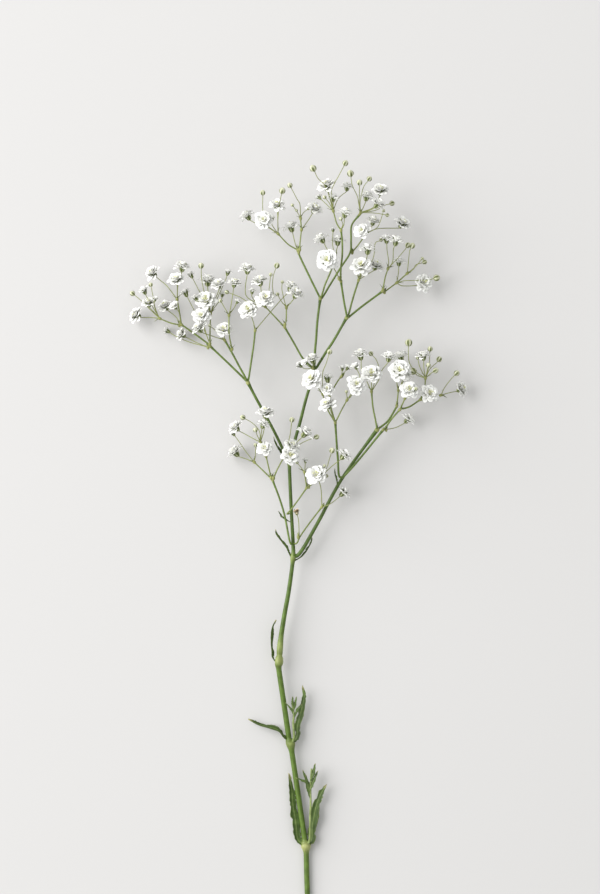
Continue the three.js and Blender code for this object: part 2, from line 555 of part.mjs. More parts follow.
    stem: [0.42, 0.38, [[31.4, 188.6, 9.8], [35.2, 191.6, 9.2], [38.4, 196.8, 9], [38.8, 197.8, 9]]],
    forks: { a: ["root", 11, [39.4, 204]] },
    heads: [
      ["a", "open", 4.4, 13, [38.8, 206.8], [39.4, 210.6], [39.8, 212.6]],
      ["a", "open", 2.8, 7, [41, 208], [41.4, 214], [40, 218.8]],
      ["a", "open", 2.2, 18, [41.6, 208], [43, 211]],
    ],
  },
  cluster_right_low: {
    stem: [0.38, 0.34, [[34.3, 189.1, 12], [36.8, 192.6, 12.1], [40, 196.2, 12.2]]],
    forks: { a: ["root", 14.4, [42, 200.8]] },
    heads: [
      ["a", "open", 3.6, 16, [43.2, 202.6], [43.8, 204.6]],
      ["a", "bud", 0.8, 19, [44.6, 202], [46.2, 204.4]],
    ],
  },
  cluster_right_top: {
    stem: [0.34, 0.32, [[41, 196.5, 11.6], [44, 197.4, 11], [48.2, 200.2, 10.2]]],
    forks: { a: ["root", 12, [49.8, 204.6], [50.2, 208.8]] },
    heads: [
      ["a", "open", 2.6, 15, [49.6, 211.8], [49.4, 215.6], [49.2, 218.8]],
      ["a", "bud", 1.5, 9, [46.2, 211.4], [43.8, 215], [43.4, 219], [43.6, 223]],
      ["a", "bud", 0.7, 13, [48, 213], [47, 216.8]],
      ["a", "bud", 1.5, 7, [47.2, 209.8], [45.4, 211.6]],
      ["a", "bud", 1, 18, [50.6, 211], [51.2, 213.8]],
      ["a", "bud", 1.1, 13, [51.6, 214], [52, 220.4]],
      ["a", "bud", 1.2, 8, [52, 212.4], [54.8, 215], [55.8, 216.4]],
      ["a", "bud", 1.2, 14, [52, 210.4], [54.2, 211.8]],
    ],
  },
  cluster_right_far: {
    root: [49.1, 200.5, 9.8],
    forks: { a: ["root", 7.4, [53, 201.2], [56.6, 202]] },
    heads: [
      ["root", "open", 3.6, 13, [51, 201.6], [52.4, 203.4]],
      ["a", "open", 2.8, 3, [60, 203], [63, 203.6], [65.8, 205]],
      ["a", "bud", 1.2, 8, [58, 205], [60.4, 208.2], [62.8, 210.8]],
    ],
  },
  cluster_right_underside: {
    root: [34.5, 188.2, 11.2],
    heads: [
      ["root", "open", 2.6, 2.9, [38.4, 189], [42, 190.8], [44.4, 193.4]],
    ],
  },
  cluster_low_left_outer: {
    stem: [0.42, 0.4, [[-4, 143, 8.2], [-6, 153, 8.6], [-8, 160, 8.9], [-11, 168, 9.2]]],
    forks: { a: ["root", 8, [-18.4, 175.2]] },
    heads: [
      ["a", "open", 3.1, 3.3, [-21.6, 176.4], [-24.6, 177.4], [-27.2, 180.4]],
      ["a", "half", 1.2, 8, [-21.6, 179.2], [-24.6, 183.6], [-27, 186.8]],
      ["a", "bud", 0.8, 12, [-17.8, 178], [-17.8, 182]],
    ],
  },
  cluster_low_left_inner: {
    root: [-11.6, 169, 10],
    forks: { a: ["root", 12, [-13.6, 177.6]], b: ["a", 14, [-15.8, 183.2]] },
    heads: [
      ["a", "open", 2.8, 13, [-13.8, 179.4], [-14, 181.2]],
      ["b", "open", 2.6, 11, [-18.4, 184.4], [-22, 186.4], [-24.4, 187.6], [-26.4, 190]],
      ["b", "bud", 1, 18, [-17, 185.6], [-17.8, 188]],
      ["b", "bud", 1.1, 16, [-16.2, 187.4], [-18.8, 190.6], [-22.8, 193]],
      ["b", "open", 2.2, 19.4, [-15.2, 188.4], [-14.4, 191.2]],
      ["b", "open", 3.4, 18, [-14.6, 187], [-13.6, 192.4], [-14, 196.4]],
    ],
  },
  cluster_low_middle: {
    root: [-10.6, 168.8, 10.4],
    forks: { a: ["root", 14, [-9, 172.4], [-6.6, 176.8]] },
    heads: [
      ["a", "open", 3.6, 15, [-4.8, 177.6], [-3.6, 178.4]],
      ["a", "open", 2.8, 17, [-4, 180], [-2.6, 182.6]],
      ["a", "bud", 1.1, 21, [-4.2, 184.8], [-3.2, 192]],
      ["a", "open", 3.1, 19, [-2, 182.4], [0.8, 185], [3.2, 188.4]],
      ["a", "bud", 1.1, 16, [0.4, 182.6], [6.6, 185.2]],
    ],
  },
  cluster_crossing_up: {
    stem: [0.3, 0.3, [[-5.2, 154.4, 9.9], [-3.4, 156.4, 11.1], [0, 161, 10.9], [2.7, 164.9, 10.4]]],
    forks: { a: ["root", 12.4, [1.8, 171.2]] },
    heads: [
      ["a", "half", 1.1, 14, [2, 173], [2.2, 176]],
      ["a", "bud", 0.7, 13.6, [0.4, 173], [-1.2, 175]],
    ],
  },
  cluster_crossing_right: {
    root: [3.5, 165.4, 10],
    forks: { a: ["root", 11, [6.8, 168], [8.8, 169.8]] },
    heads: [
      ["a", "open", 3, 17, [12.6, 173.4, 14.6], [16.2, 176.2], [18.8, 179.4]],
      ["a", "bud", 1.2, 18, [10.6, 172.6], [11.6, 176], [12.8, 179.8]],
      ["a", "bud", 0.7, 14, [9.8, 173.6]],
      ["a", "bud", 0.8, 10, [10.6, 169.6]],
    ],
  },
  cluster_low_right: {
    stem: [0.32, 0.3, [[-1.3, 142.6, 8.2], [0.2, 145.6, 8.9], [4, 151, 9.3], [8.8, 157.2, 9.3]]],
    heads: [
      ["root", "open", 4, 12.8, [8.4, 164.4], [7.2, 168.8], [6.4, 171.2]],
      ["root", "open", 2.6, 2.9, [10.8, 157.8, 10.3], [12.8, 158.9, 10.4], [16, 161.4], [18.8, 164.4]],
    ],
  },
  cluster_low_withered: {
    root: [-0.7, 145.2, 9.6],
    heads: [
      ["root", "half", 1.7, 14, [-0.4, 148, 11], [-0.6, 152], [-1.6, 156]],
    ],
  },
};

// ---- the sprig ----------------------------------------------------------------------------------
const sprig = new THREE.Group();
sprig.position.set(-ORIGIN[0], -ORIGIN[1], -ORIGIN[2]);

function add(name, solid, material) {
  const mesh = new THREE.Mesh(toGeometry(solid), material);
  mesh.name = name;
  sprig.add(mesh);
}

add("main_stem", mainStem(), MATERIALS.stem);
Object.entries(BRANCHES).forEach(([name, [first, last, route]]) => {
  add(name, tube(route, taper(first, last), BRANCH_SIDES, route.length + 2), MATERIALS.stem);
});
Object.entries(LEAVES).forEach(([name, [width, roll, route]]) => {
  add(name, blade(route, width, roll), MATERIALS.leaf);
});
Object.entries(SHOOTS).forEach(([name, parts]) => {
  add(name, shoot(parts), MATERIALS.leaf);
});
Object.entries(CLUSTERS).forEach(([name, parts]) => {
  add(name, cluster(parts), MATERIALS.blossom);
});

export default sprig;
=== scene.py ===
# %% [markdown]
# # A sprig of baby's breath
#
# This script dresses a lying sprig of baby's breath. Plain solids for the stem, the branches, the
# leaves and the flower clusters are loaded first and stay where they are. Every cell then makes one
# part of the plant over them: round stalks, swollen joints, bracts, green cups, buds, petals, leaves.
# The petals could be modelled one by one, but there are nearly three thousand. Geometry Nodes
# place them by the rule that the plant itself follows, one golden angle after another.

# %% The plain sprig
import json
import math
import random

import bmesh
import bpy
from mathutils import Matrix, Vector, noise as wavering

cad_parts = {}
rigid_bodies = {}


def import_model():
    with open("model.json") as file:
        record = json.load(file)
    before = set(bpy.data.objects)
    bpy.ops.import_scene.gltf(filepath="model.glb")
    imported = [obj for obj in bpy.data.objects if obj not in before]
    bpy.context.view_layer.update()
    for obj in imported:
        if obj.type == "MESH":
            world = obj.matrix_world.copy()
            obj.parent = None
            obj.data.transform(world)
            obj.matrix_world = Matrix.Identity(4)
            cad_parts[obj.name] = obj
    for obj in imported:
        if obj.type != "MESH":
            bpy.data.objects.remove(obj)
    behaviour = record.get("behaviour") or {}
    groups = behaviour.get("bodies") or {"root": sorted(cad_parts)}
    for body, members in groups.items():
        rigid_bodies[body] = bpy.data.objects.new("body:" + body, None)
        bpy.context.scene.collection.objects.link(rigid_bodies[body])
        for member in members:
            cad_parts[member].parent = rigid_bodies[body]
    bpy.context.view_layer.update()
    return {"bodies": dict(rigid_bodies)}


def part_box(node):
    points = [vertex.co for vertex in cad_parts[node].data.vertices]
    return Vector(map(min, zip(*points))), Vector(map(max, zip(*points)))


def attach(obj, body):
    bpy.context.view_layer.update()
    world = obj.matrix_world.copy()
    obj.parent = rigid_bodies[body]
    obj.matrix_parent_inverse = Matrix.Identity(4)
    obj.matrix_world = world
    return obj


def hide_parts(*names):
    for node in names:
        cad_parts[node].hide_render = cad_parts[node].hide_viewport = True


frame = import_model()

BODY = list(frame["bodies"])[0]

# %% [markdown]
# ## Sizes
# The routes below are in millimetres, with +Y up the stem from its cut end. Everything in the scene is
# in metres, about the middle of the sprig's outline, so ORIGIN is taken off each point. The radii are
# those of the real plant: a 2 mm stem that thins to half-millimetre threads.

# %% Sizes
MM = 0.001
ORIGIN = Vector((-0.6, 147.3, 0))
STEM_RADIUS = 1.08
JOINT_RADII = [2.05, 1.85, 1.75]
JOINT_HEIGHTS = [20.6, 61.6, 94.8]
FORK_HEIGHTS = [136.8, 175.8]
TWIG_RADIUS = 0.30
FORK_RADIUS = 0.24
STALK_RADIUS = 0.19
REACH = {"open": 1.25, "half": 1.3, "bud": 1.0}
SEED = 7

# %% [markdown]
# ## Where everything grows
# These lists describe one particular sprig, as measured: where a stalk leaves, the points it
# passes, and what it carries. They repeat the routes of the plain solids. A cluster starts at its
# root, or at the end of its own stem.
# A fork is its parent, its height and its route. A head is its fork, its kind, its radius, its height
# and its route. Growing the sprig by a rule was the other choice, but a rule gives any sprig and not
# this one.

# %% Routes of the sprig
STEM_ROUTE = [
  [3, 0, 1.15], [2.7, 10, 1.4], [2.4, 20.4, 1.8], [1.8, 24, 1.9], [-0.8, 42, 2.4], [-3.2, 58, 2.9],
  [-3.7, 61.4, 3], [-4.4, 64, 3.1], [-6.6, 79, 3.8], [-8.5, 92, 4.3], [-8.4, 95, 4.5], [-7.7, 104, 5],
  [-6.2, 114, 5.5], [-4.4, 124, 6], [-2.8, 136.5, 6.5], [-2.8, 143, 7], [-3.4, 154, 8],
  [-4.2, 172, 9.4], [-4, 176, 9.6], [-2, 184, 10.4], [0, 191, 11.3], [2.3, 200, 12.2], [4.4, 207, 12.8],
  [5.4, 212, 13],
]

BRANCHES = {
  "branch_right": [0.8, 0.6, [[-1.1, 137.6, 6.6], [1.2, 140.4, 6.8], [4, 145.2, 7.1], [8, 152.4, 7.6],
    [12, 160, 8.1], [16, 167.2, 8.6], [20, 173.2, 9.1], [24, 178.8, 9.5], [30.8, 188, 10]]],
  "branch_right_inner": [0.5, 0.42, [[17.3, 169.2, 10.1], [21.4, 173.6, 11], [25.6, 178.6, 11.6],
    [33.2, 188, 12]]],
  "branch_left": [0.6, 0.55, [[-5.6, 178, 9.9], [-9.2, 185.2, 10.2], [-12, 190.6, 10.5],
    [-17.2, 200, 10.8], [-20.8, 206.9, 11]]],
  "branch_left_outer": [0.45, 0.4, [[-21.9, 208.1, 11], [-29, 215, 10], [-36, 221.6, 9.1]]],
  "branch_crown_middle": [0.5, 0.46, [[5.7, 213.1, 13.2], [6, 219.6, 13.6], [6.4, 224, 13.8],
    [7, 232, 14.4], [8.1, 240.4, 15]]],
  "branch_crown_right": [0.55, 0.5, [[6.6, 213, 13], [10.2, 218.8, 13.2], [13.6, 224, 13.4],
    [18.6, 232.8, 14]]],
  "branch_top_left": [0.42, 0.38, [[7.7, 241.3, 15.1], [4, 248.8, 14.6], [0, 257.2, 14.1],
    [-0.5, 258.9, 14]]],
  "branch_top_right": [0.42, 0.36, [[9, 241, 14.6], [12, 246, 13.6], [16.2, 252.8, 13.2],
    [20, 258.8, 13.8], [20.4, 264, 15], [20.6, 269.6, 16.4], [23.7, 273.8, 17.5]]],
  "branch_eye": [0.42, 0.4, [[18.6, 233.9, 14.8], [17.6, 239, 16], [16.3, 247.3, 18]]],
  "branch_shoulder": [0.45, 0.4, [[19.6, 233.2, 13.2], [24, 236.8, 13], [28, 239.8, 12.6],
    [32.9, 243.4, 12]]],
}

LEAVES = {
  "leaf_lowest_left": [2.6, 25, [[-0.9, 23.2, 1.6], [-1.8, 30, 1.5], [-2.9, 37, 1.5], [-3.4, 43.2, 1.7],
    [-4.7, 50, 2.6]]],
  "leaf_lowest_right": [2.6, -20, [[4.8, 23.4, 1.5], [5, 28, 1.6], [6.4, 36, 2], [8.4, 41.4, 2.6],
    [10.8, 45.6, 3.4]]],
  "leaf_second_left": [1.8, 78, [[-6.4, 64.4, 3], [-8.6, 67, 2.8], [-13, 68.4, 2.4], [-17, 69.6, 2.3],
    [-20.8, 71.8, 3]]],
  "leaf_second_right": [1.9, -25, [[-1.2, 64.4, 2.2], [-0.9, 68.8, 2.2], [0.6, 75, 2.4], [1.8, 80.8, 2.8],
    [1.1, 85.4, 3.4]]],
  "leaf_third_left": [1.1, 60, [[-10.9, 96.4, 4.3], [-11.2, 99, 4], [-11.5, 104.4, 4], [-11.1, 108.8, 4.4],
    [-9.6, 111.8, 5.2]]],
  "bract_fork_left": [0.9, 50, [[-4.2, 138.2, 6.2], [-5.2, 140.6, 6.2], [-7.6, 143.8, 6.4],
    [-9.6, 146.4, 6.8], [-9.8, 148.2, 7.4]]],
  "bract_fork_right": [0.9, -60, [[0.4, 137, 5.6], [2, 138.8, 5.4], [3.8, 141.6, 5.4], [4.8, 143.8, 5.6],
    [4.7, 145, 6]]],
  "bract_left_fork": [0.8, 50, [[-6, 176.2, 9], [-8, 179.6, 8.8], [-9.9, 182.8, 9], [-10.6, 185.4, 9.4]]],
  "bract_low_left": [0.6, 40, [[-7.1, 153, 8.4], [-7.9, 154.2, 8.4], [-8.8, 155.6, 8.8]]],
  "bract_right_fork": [0.6, 40, [[14.6, 168.4, 8.6], [14, 170.6, 8.4], [13.9, 172.8, 8.9]]],
}

SHOOTS = {
  "side_shoot_lower": {
    "stalk": [[3.9, 23.4, 3.7], [4.1, 32.8, 3.9], [4.3, 38, 4.2], [4.2, 44.8, 4.6], [4.6, 52, 5.2]],
    "leaflets": [
      [1.1, [[4.2, 42, 4.4], [2.8, 46.6, 4.8], [1.1, 51.6, 5]]],
      [1.2, [[4.1, 40, 4.3], [2.9, 45, 4.8], [2.3, 49.6, 5.4]]],
      [0.8, [[4.2, 43.6, 4.5], [2.2, 46.6, 5], [-1.8, 48.4, 5.2]]],
      [1.1, [[4.2, 43.4, 4.5], [5.4, 47, 4.9], [7.3, 51.3, 5.2]]],
      [1.1, [[4.4, 47.4, 4.9], [5.4, 50.4, 5.2], [6.2, 54.2, 5.4]]],
    ],
  },
  "side_shoot_upper": {
    "stalk": [[-2.4, 64.4, 4.9], [-2.7, 70, 5], [-2.5, 73.8, 5.2], [-3, 77.4, 5.4]],
    "leaflets": [
      [0.7, [[-2.6, 74, 5.2], [-3.9, 76.4, 5.5], [-5.8, 78.6, 5.6]]],
      [0.8, [[-2.5, 72.4, 5.1], [-1.1, 75.6, 5.4], [0.8, 77.9, 5.6]]],
      [0.9, [[-2.8, 75.6, 5.3], [-3, 78.6, 5.7], [-2.9, 81.1, 5.9]]],
      [0.9, [[-2.7, 75.2, 5.3], [-2, 78, 5.5], [-1.3, 81.1, 5.6]]],
    ],
  },
}

CLUSTERS = {
  "cluster_top_left": {
    "root": [-0.9, 259.9, 14],
    "forks": { "a": ["root", 15, [-4.8, 262.2], [-8.8, 266.4]] },
    "heads": [
      ["a", "open", 2.8, 9, [-12.8, 269.2], [-16.8, 270.4], [-20, 272], [-21.8, 275]],
      ["a", "bud", 1.1, 20, [-13.8, 270.2], [-14.8, 275.5], [-14.8, 282.4]],
      ["a", "open", 3.4, 15, [-12.8, 269], [-14.6, 271], [-14.6, 272.2]],
      ["a", "half", 1.2, 13, [-11.2, 270], [-11.2, 272.8]],
      ["a", "open", 3, 18, [-8.8, 270], [-9, 275.6], [-9.2, 278.6]],
      ["a", "bud", 1.3, 23, [-8.8, 272], [-8.2, 278], [-7, 283]],
      ["root", "open", 3, 12, [-1.8, 262], [-3, 267], [-4, 270.8]],
    ],
  },
  "cluster_top_left_inner": {
    "root": [-0.1, 260.1, 14.9],
    "forks": { "a": ["root", 16, [0, 262.8], [0.6, 268]], "b": ["a", 18, [0.2, 272.4]] },
    "heads": [
      ["b", "bud", 1.1, 25, [0, 277.6], [-1.2, 279.8], [-4, 285]],
      ["b", "bud", 0.7, 21, [-1, 274.6], [-3, 277.4]],
      ["b", "bud", 0.6, 19.5, [-1.4, 275.4]],
      ["b", "bud", 0.6, 17, [1.4, 274.6], [3.4, 276.2]],
      ["a", "open", 3, 13, [3.2, 271.6], [5, 274.6], [6.4, 277.4]],
    ],
  },
  "cluster_crown_peak": {
    "stem": [0.38, 0.36, [[16.2, 248.5, 18.8], [16.3, 252.8, 19.6], [16.8, 257.2, 20.4],
      [16.8, 262.8, 21.4], [16.3, 267.4, 22.4]]],
    "forks": { "a": ["root", 24, [14.6, 270], [13.2, 275]] },
    "heads": [
      ["a", "bud", 1.4, 27, [10.4, 284], [7.2, 287.6], [5.2, 291.6]],
      ["a", "open", 3.5, 21, [12, 280], [11.2, 282.8], [10, 286.6]],
      ["a", "bud", 1.2, 28, [12.4, 282], [13.6, 285.6], [15.2, 288.4], [18, 293.6]],
      ["a", "half", 1.2, 19, [9.8, 278.4], [7.4, 280.8]],
      ["a", "bud", 0.8, 26, [11.6, 278], [9.8, 280.2]],
      ["a", "open", 2.2, 17, [15.2, 280], [18.6, 283], [18.8, 286]],
      ["a", "open", 1.8, 24, [13.2, 278.4], [13.3, 281]],
      ["root", "open", 2.8, 26, [17.4, 269.4], [17.6, 272], [18, 275.6]],
      ["root", "bud", 0.8, 27, [17, 269.6], [16.2, 271.6]],
    ],
  },
  "cluster_crown_centre": {
    "stem": [0.36, 0.33, [[8.6, 241.5, 15.8], [10, 246, 16.5], [12.4, 251.6, 17.4], [14, 257.2, 18]]],
    "heads": [
      ["root", "open", 2.8, 18, [11, 259.8], [9.6, 262.4], [7.8, 265.4]],
      ["root", "open", 2.8, 13.4, [14.6, 259.8], [15, 261.4], [15.2, 265]],
      ["root", "half", 1.1, 16.4, [13, 262], [13.2, 268.2]],
    ],
  },
  "cluster_crown_eye": {
    "root": [15.5, 248.4, 19.2],
    "heads": [
      ["root", "open", 4.2, 23, [14.6, 250.4], [12.8, 253.2], [10.9, 255], [10.6, 256]],
    ],
  },
  "cluster_top_right": {
    "root": [24.1, 274.7, 17.8],
    "heads": [
      ["root", "bud", 1.4, 24, [23.4, 278], [22.8, 281], [20.8, 285.2], [20, 289.8]],
      ["root", "bud", 1.2, 27, [23.6, 278], [23.6, 286]],
      ["root", "bud", 1.1, 22, [24, 279], [25.2, 284.4], [27.6, 287.8]],
      ["root", "open", 2.8, 20, [25.2, 276.6], [26.2, 279], [26.8, 283]],
      ["root", "open", 3.1, 15, [28.8, 276.4], [30.2, 278.6], [32, 281.6], [32.1, 284.8]],
      ["root", "open", 2.8, 24, [27, 275.2], [29.6, 276.2], [31.8, 278.8]],
      ["root", "bud", 1.1, 13, [30, 275.6], [34, 277.8], [36.8, 278.6]],
      ["root", "bud", 0.8, 18, [30, 274.4], [34.8, 273.6]],
    ],
  },
  "cluster_top_right_low": {
    "root": [20.9, 259.1, 12.6],
    "forks": { "a": ["root", 15, [23.6, 262.4], [26.4, 266.4]] },
    "heads": [
      ["a", "open", 2.4, 19, [27.2, 267.6], [28.8, 269.4], [29.4, 272.2]],
      ["a", "open", 3.1, 9, [30.8, 268.4], [38, 268.8], [39.9, 268.9], [41.6, 271.8]],
      ["a", "bud", 0.7, 22, [30.4, 268.4], [31.8, 270.6], [33.2, 275.2]],
      ["a", "open", 2.8, 20, [25.2, 266.8], [24.4, 267.6]],
    ],
  },
  "cluster_right_eye": {
    "stem": [0.4, 0.36, [[19.3, 233.8, 14], [21.2, 240.8, 15.6], [23.4, 247.8, 17]]],
    "heads": [
      ["root", "open", 4, 20, [24.4, 251.6], [24.2, 254.6]],
      ["root", "open", 2.8, 12, [26, 249.6], [29.6, 251.8], [30.8, 254.8]],
      ["root", "bud", 0.8, 16, [22.6, 251], [21.6, 252.8]],
      ["root", "open", 3.1, 22, [25.6, 253], [26.8, 257.6], [27.2, 261.6]],
      ["root", "bud", 0.8, 13, [29, 256], [30, 262.4], [32.4, 264]],
    ],
  },
  "cluster_shoulder_up": {
    "root": [33.2, 244.3, 12.8],
    "forks": { "a": ["root", 13.5, [34, 248.8], [35.2, 252.6]] },
    "heads": [
      ["a", "half", 1.9, 17, [35.4, 255.4], [34.8, 259.2], [34.4, 264.6]],
      ["a", "open", 2.8, 20, [37, 255.2], [37.2, 260], [37.8, 261.2], [38.8, 264.8]],
      ["a", "bud", 1.2, 10, [38.8, 256.4], [42, 260.2], [43.2, 262]],
    ],
  },
  "cluster_shoulder_out": {
    "root": [33.8, 243.3, 11],
    "forks": { "a": ["root", 10, [38.8, 247]], "b": ["a", 9, [43, 250.8]] },
    "heads": [
      ["a", "open", 2.2, 7, [39.4, 250.8], [39.6, 253.6], [39.8, 256.4]],
      ["b", "bud", 1.2, 14, [43.4, 255.2], [43.8, 259.4], [44.9, 261.6]],
      ["b", "bud", 1, 7, [45.6, 252.6], [46.4, 254.2], [50, 255.4]],
      ["b", "bud", 0.7, 11, [46, 253.2], [49, 256.6]],
      ["a", "open", 3.4, 3.9, [41, 245.8], [46.4, 246], [48.4, 246.3], [50.4, 247.6]],
      ["a", "bud", 1.4, 8, [42, 247.8], [46.8, 248], [51.2, 248.2], [54.8, 249]],
    ],
  },
  "cluster_left_far_up": {
    "stem": [0.38, 0.34, [[-36.9, 222.6, 8.8], [-42, 226.4, 8.3], [-47.6, 230.3, 8]]],
    "forks": { "a": ["root", 11, [-48.3, 235.2], [-49.2, 240.4]] },
    "heads": [
      ["a", "open", 3, 16, [-48.8, 246], [-48, 248.4], [-47.2, 251], [-46.8, 254.6]],
      ["a", "open", 3.1, 19, [-49, 244], [-49, 246], [-49.6, 249]],
      ["a", "open", 3, 7, [-53.2, 245.6], [-56, 248], [-57.6, 249.4], [-60, 251.8]],
      ["root", "open", 2.6, 3, [-50, 233.6], [-53.2, 236.2], [-54.6, 238.8]],
      ["root", "half", 1.7, 14, [-48.4, 235], [-50.4, 237.8]],
    ],
  },
  "cluster_left_far_tip": {
    "root": [-48.4, 230.2, 7.4],
    "forks": { "a": ["root", 7, [-52, 231], [-56.4, 232.8]] },
    "heads": [
      ["a", "open", 3, 3.2, [-60, 233.2], [-64, 233.3], [-67, 234.9]],
      ["a", "open", 2.4, 10, [-59.2, 236], [-60.4, 237.2], [-60.8, 239.8]],
      ["a", "half", 1.8, 12, [-59.4, 238], [-61.4, 241.4], [-62.6, 244.2]],
      ["a", "bud", 1.1, 7, [-60.8, 237], [-63.8, 240], [-67.2, 242.8]],
      ["a", "bud", 0.9, 15, [-58, 237], [-58.8, 241.6], [-59.6, 246]],
      ["a", "half", 1.1, 13, [-57.6, 235.4], [-58.4, 238], [-57.8, 240.6]],
    ],
  },
  "cluster_left_edge": {
    "root": [-36.9, 221.3, 7.4],
    "heads": [
      ["root", "open", 2.4, 2.7, [-41, 222.9], [-46, 225.4], [-48.4, 227]],
      ["root", "half", 1.5, 2.6, [-44, 223.2], [-50, 225.8], [-53.8, 228.2]],
    ],
  },
  "cluster_left_middle": {
    "root": [-36.1, 222.6, 9.9],
    "forks": { "a": ["root", 11, [-36, 228.8], [-35.8, 234.8]] },
    "heads": [
      ["a", "open", 4, 14, [-37, 238], [-38, 240.8]],
      ["a", "half", 1.3, 9, [-33.4, 238.2], [-31.4, 240.6], [-31, 242.8]],
      ["a", "open", 2.4, 14, [-34, 240], [-32.2, 244.4], [-32.8, 247]],
      ["a", "half", 1.4, 11, [-31.8, 243.6], [-29.8, 248], [-28.8, 251.4]],
      ["a", "half", 1.5, 17, [-38.4, 237], [-40.8, 239.4], [-42.2, 241.4]],
      ["a", "half", 1.5, 12, [-38, 240], [-40.4, 243.8], [-43.8, 250.4]],
      ["a", "bud", 1.2, 19, [-38, 242], [-39.2, 248], [-39.4, 253.4]],
      ["a", "open", 3.4, 10, [-36.4, 240], [-37, 245.4], [-36.8, 249.6]],
      ["root", "open", 3.6, 14, [-37.4, 226], [-38.4, 229.8], [-39, 232], [-39.8, 234.4]],
      ["root", "half", 1.8, 8, [-38.8, 229], [-42, 235.2], [-43.8, 238.6], [-46.2, 243.4]],
    ],
  },
  "cluster_left_under": {
    "stem": [0.42, 0.4, [[-21.6, 208.5, 12.3], [-24.6, 214, 12.7], [-27.6, 219.6, 12.9],
      [-30.1, 223.9, 13.2]]],
    "heads": [
      ["root", "open", 3, 16, [-30.5, 226.4], [-30.6, 229]],
      ["root", "open", 2.8, 20, [-34.8, 225.4], [-39, 226.8], [-41.2, 229.4]],
      ["root", "bud", 0.7, 18, [-33, 227], [-36, 229.6]],
    ],
  },
  "cluster_left_centre": {
    "root": [-27.2, 220.4, 14.2],
    "forks": { "a": ["root", 19, [-28.2, 226, 18], [-28.3, 233.8]] },
    "heads": [
      ["a", "open", 2.4, 22, [-27.6, 236.8], [-26.8, 241.6], [-26, 247.4]],
      ["a", "bud", 0.8, 20, [-30, 236.6], [-31.6, 239.4]],
      ["a", "half", 1.1, 17, [-26.4, 236.4], [-24.8, 239.4]],
    ],
  },
  "cluster_inner_eye": {
    "stem": [0.42, 0.36, [[-20.6, 208.3, 11.6], [-19.4, 216, 12.8], [-18.5, 222, 14], [-17.9, 227.8, 15]]],
    "heads": [
      ["root", "open", 3.7, 17, [-18.6, 231], [-19.8, 234.4], [-21, 236.6]],
      ["root", "open", 2.8, 11, [-12.4, 234.4], [-7.8, 239.8], [-4.4, 243.4], [-3, 247.2]],
    ],
  },
  "cluster_inner_left": {
    "stem": [0.42, 0.38, [[4.9, 213, 13.6], [1, 216.8, 14], [-2, 222, 14.6], [-6.1, 229, 16]]],
    "forks": { "a": ["root", 18.5, [-12.2, 235.4], [-14, 237.2]] },
    "heads": [
      ["a", "half", 1.3, 20, [-17.6, 239], [-19.2, 241.2], [-19, 243.6]],
      ["a", "open", 3, 22, [-20.6, 240.4], [-21.8, 244], [-21, 249.8], [-20.8, 253.4]],
      ["a", "bud", 0.9, 15.5, [-20, 238.6], [-24, 241], [-29.2, 243]],
      ["a", "open", 3, 24, [-15, 239.4], [-15.6, 245], [-16.2, 248.6]],
      ["a", "open", 3.7, 19, [-13.8, 238.8], [-13.6, 241.2]],
      ["a", "bud", 0.8, 25, [-12.6, 242], [-11.6, 249.6]],
      ["a", "bud", 1.2, 20, [-10.8, 241], [-11, 245.2], [-10.6, 249.4], [-9.2, 253.4]],
    ],
  },
  "cluster_inner_right": {
    "root": [-6, 230, 17.6],
    "forks": { "a": ["root", 19, [-5.5, 232], [-5.4, 236.8]] },
    "heads": [
      ["a", "bud", 0.7, 22, [-6.2, 239.4], [-7.2, 244], [-7, 246.8]],
      ["a", "open", 3, 22, [-4, 238.2], [-2.4, 240.2], [-1, 243.4]],
      ["a", "bud", 0.8, 20, [-7.4, 239.2], [-9, 242]],
    ],
  },
  "cluster_heart_top": {
    "root": [5.1, 212.6, 15],
    "heads": [
      ["root", "open", 2.6, 17.6, [5.2, 214.4], [4.8, 217.6]],
      ["root", "half", 1.4, 16.2, [2, 212.4], [-0.6, 214]],
      ["root", "half", 1.2, 19, [3.4, 213.4], [1.8, 215]],
    ],
  },
  "cluster_heart": {
    "stem": [0.45, 0.42, [[15.6, 169.8, 9.9], [15.2, 176, 11], [14.8, 180.8, 12.4], [14.1, 190.9, 15]]],
    "forks": {
      "a": ["root", 17, [10.8, 196.6], [9, 202.4]],
      "b": ["root", 14.6, [12.4, 197], [11.8, 202]],
      "c": ["b", 14, [15, 207.4], [16.6, 209.4]],
      "d": ["root", 16.5, [16.4, 195.6], [18.8, 200]],
    },
    "heads": [
      ["a", "open", 4, 17.4, [5.6, 207], [4, 209.4]],
      ["a", "bud", 1.1, 23, [9, 210.4], [10.4, 214.4], [11.8, 219]],
      ["b", "half", 2, 12, [11.2, 205.4], [11, 209.2]],
      ["b", "open", 2, 19, [11.2, 203.4], [10.8, 204.6]],
      ["root", "open", 3.1, 18, [11.8, 196.6], [10.4, 199.2]],
      ["c", "half", 1.2, 15, [17, 213]],
      ["c", "half", 1.2, 11, [19.2, 213]],
      ["d", "bud", 0.7, 18.5, [18.5, 203.2]],
      ["d", "open", 3.7, 18, [21.2, 202.6], [22, 205.2], [22.5, 206.8]],
      ["d", "half", 1.5, 23, [22, 205], [23.8, 209], [22, 213.6]],
    ],
  },
  "cluster_right_inner": {
    "stem": [0.36, 0.32, [[30.7, 189.1, 11], [30.2, 192, 11.4], [29.2, 197, 11.8], [28.6, 203.4, 12]]],
    "heads": [
      ["root", "open", 4, 16, [28.6, 208.6], [28.4, 211.4]],
      ["root", "open", 3.1, 11, [26, 209], [24.6, 212], [24.5, 215.8], [23.8, 219.6]],
      ["root", "bud", 1, 9, [31.4, 212], [30.6, 216], [28.4, 218.6]],
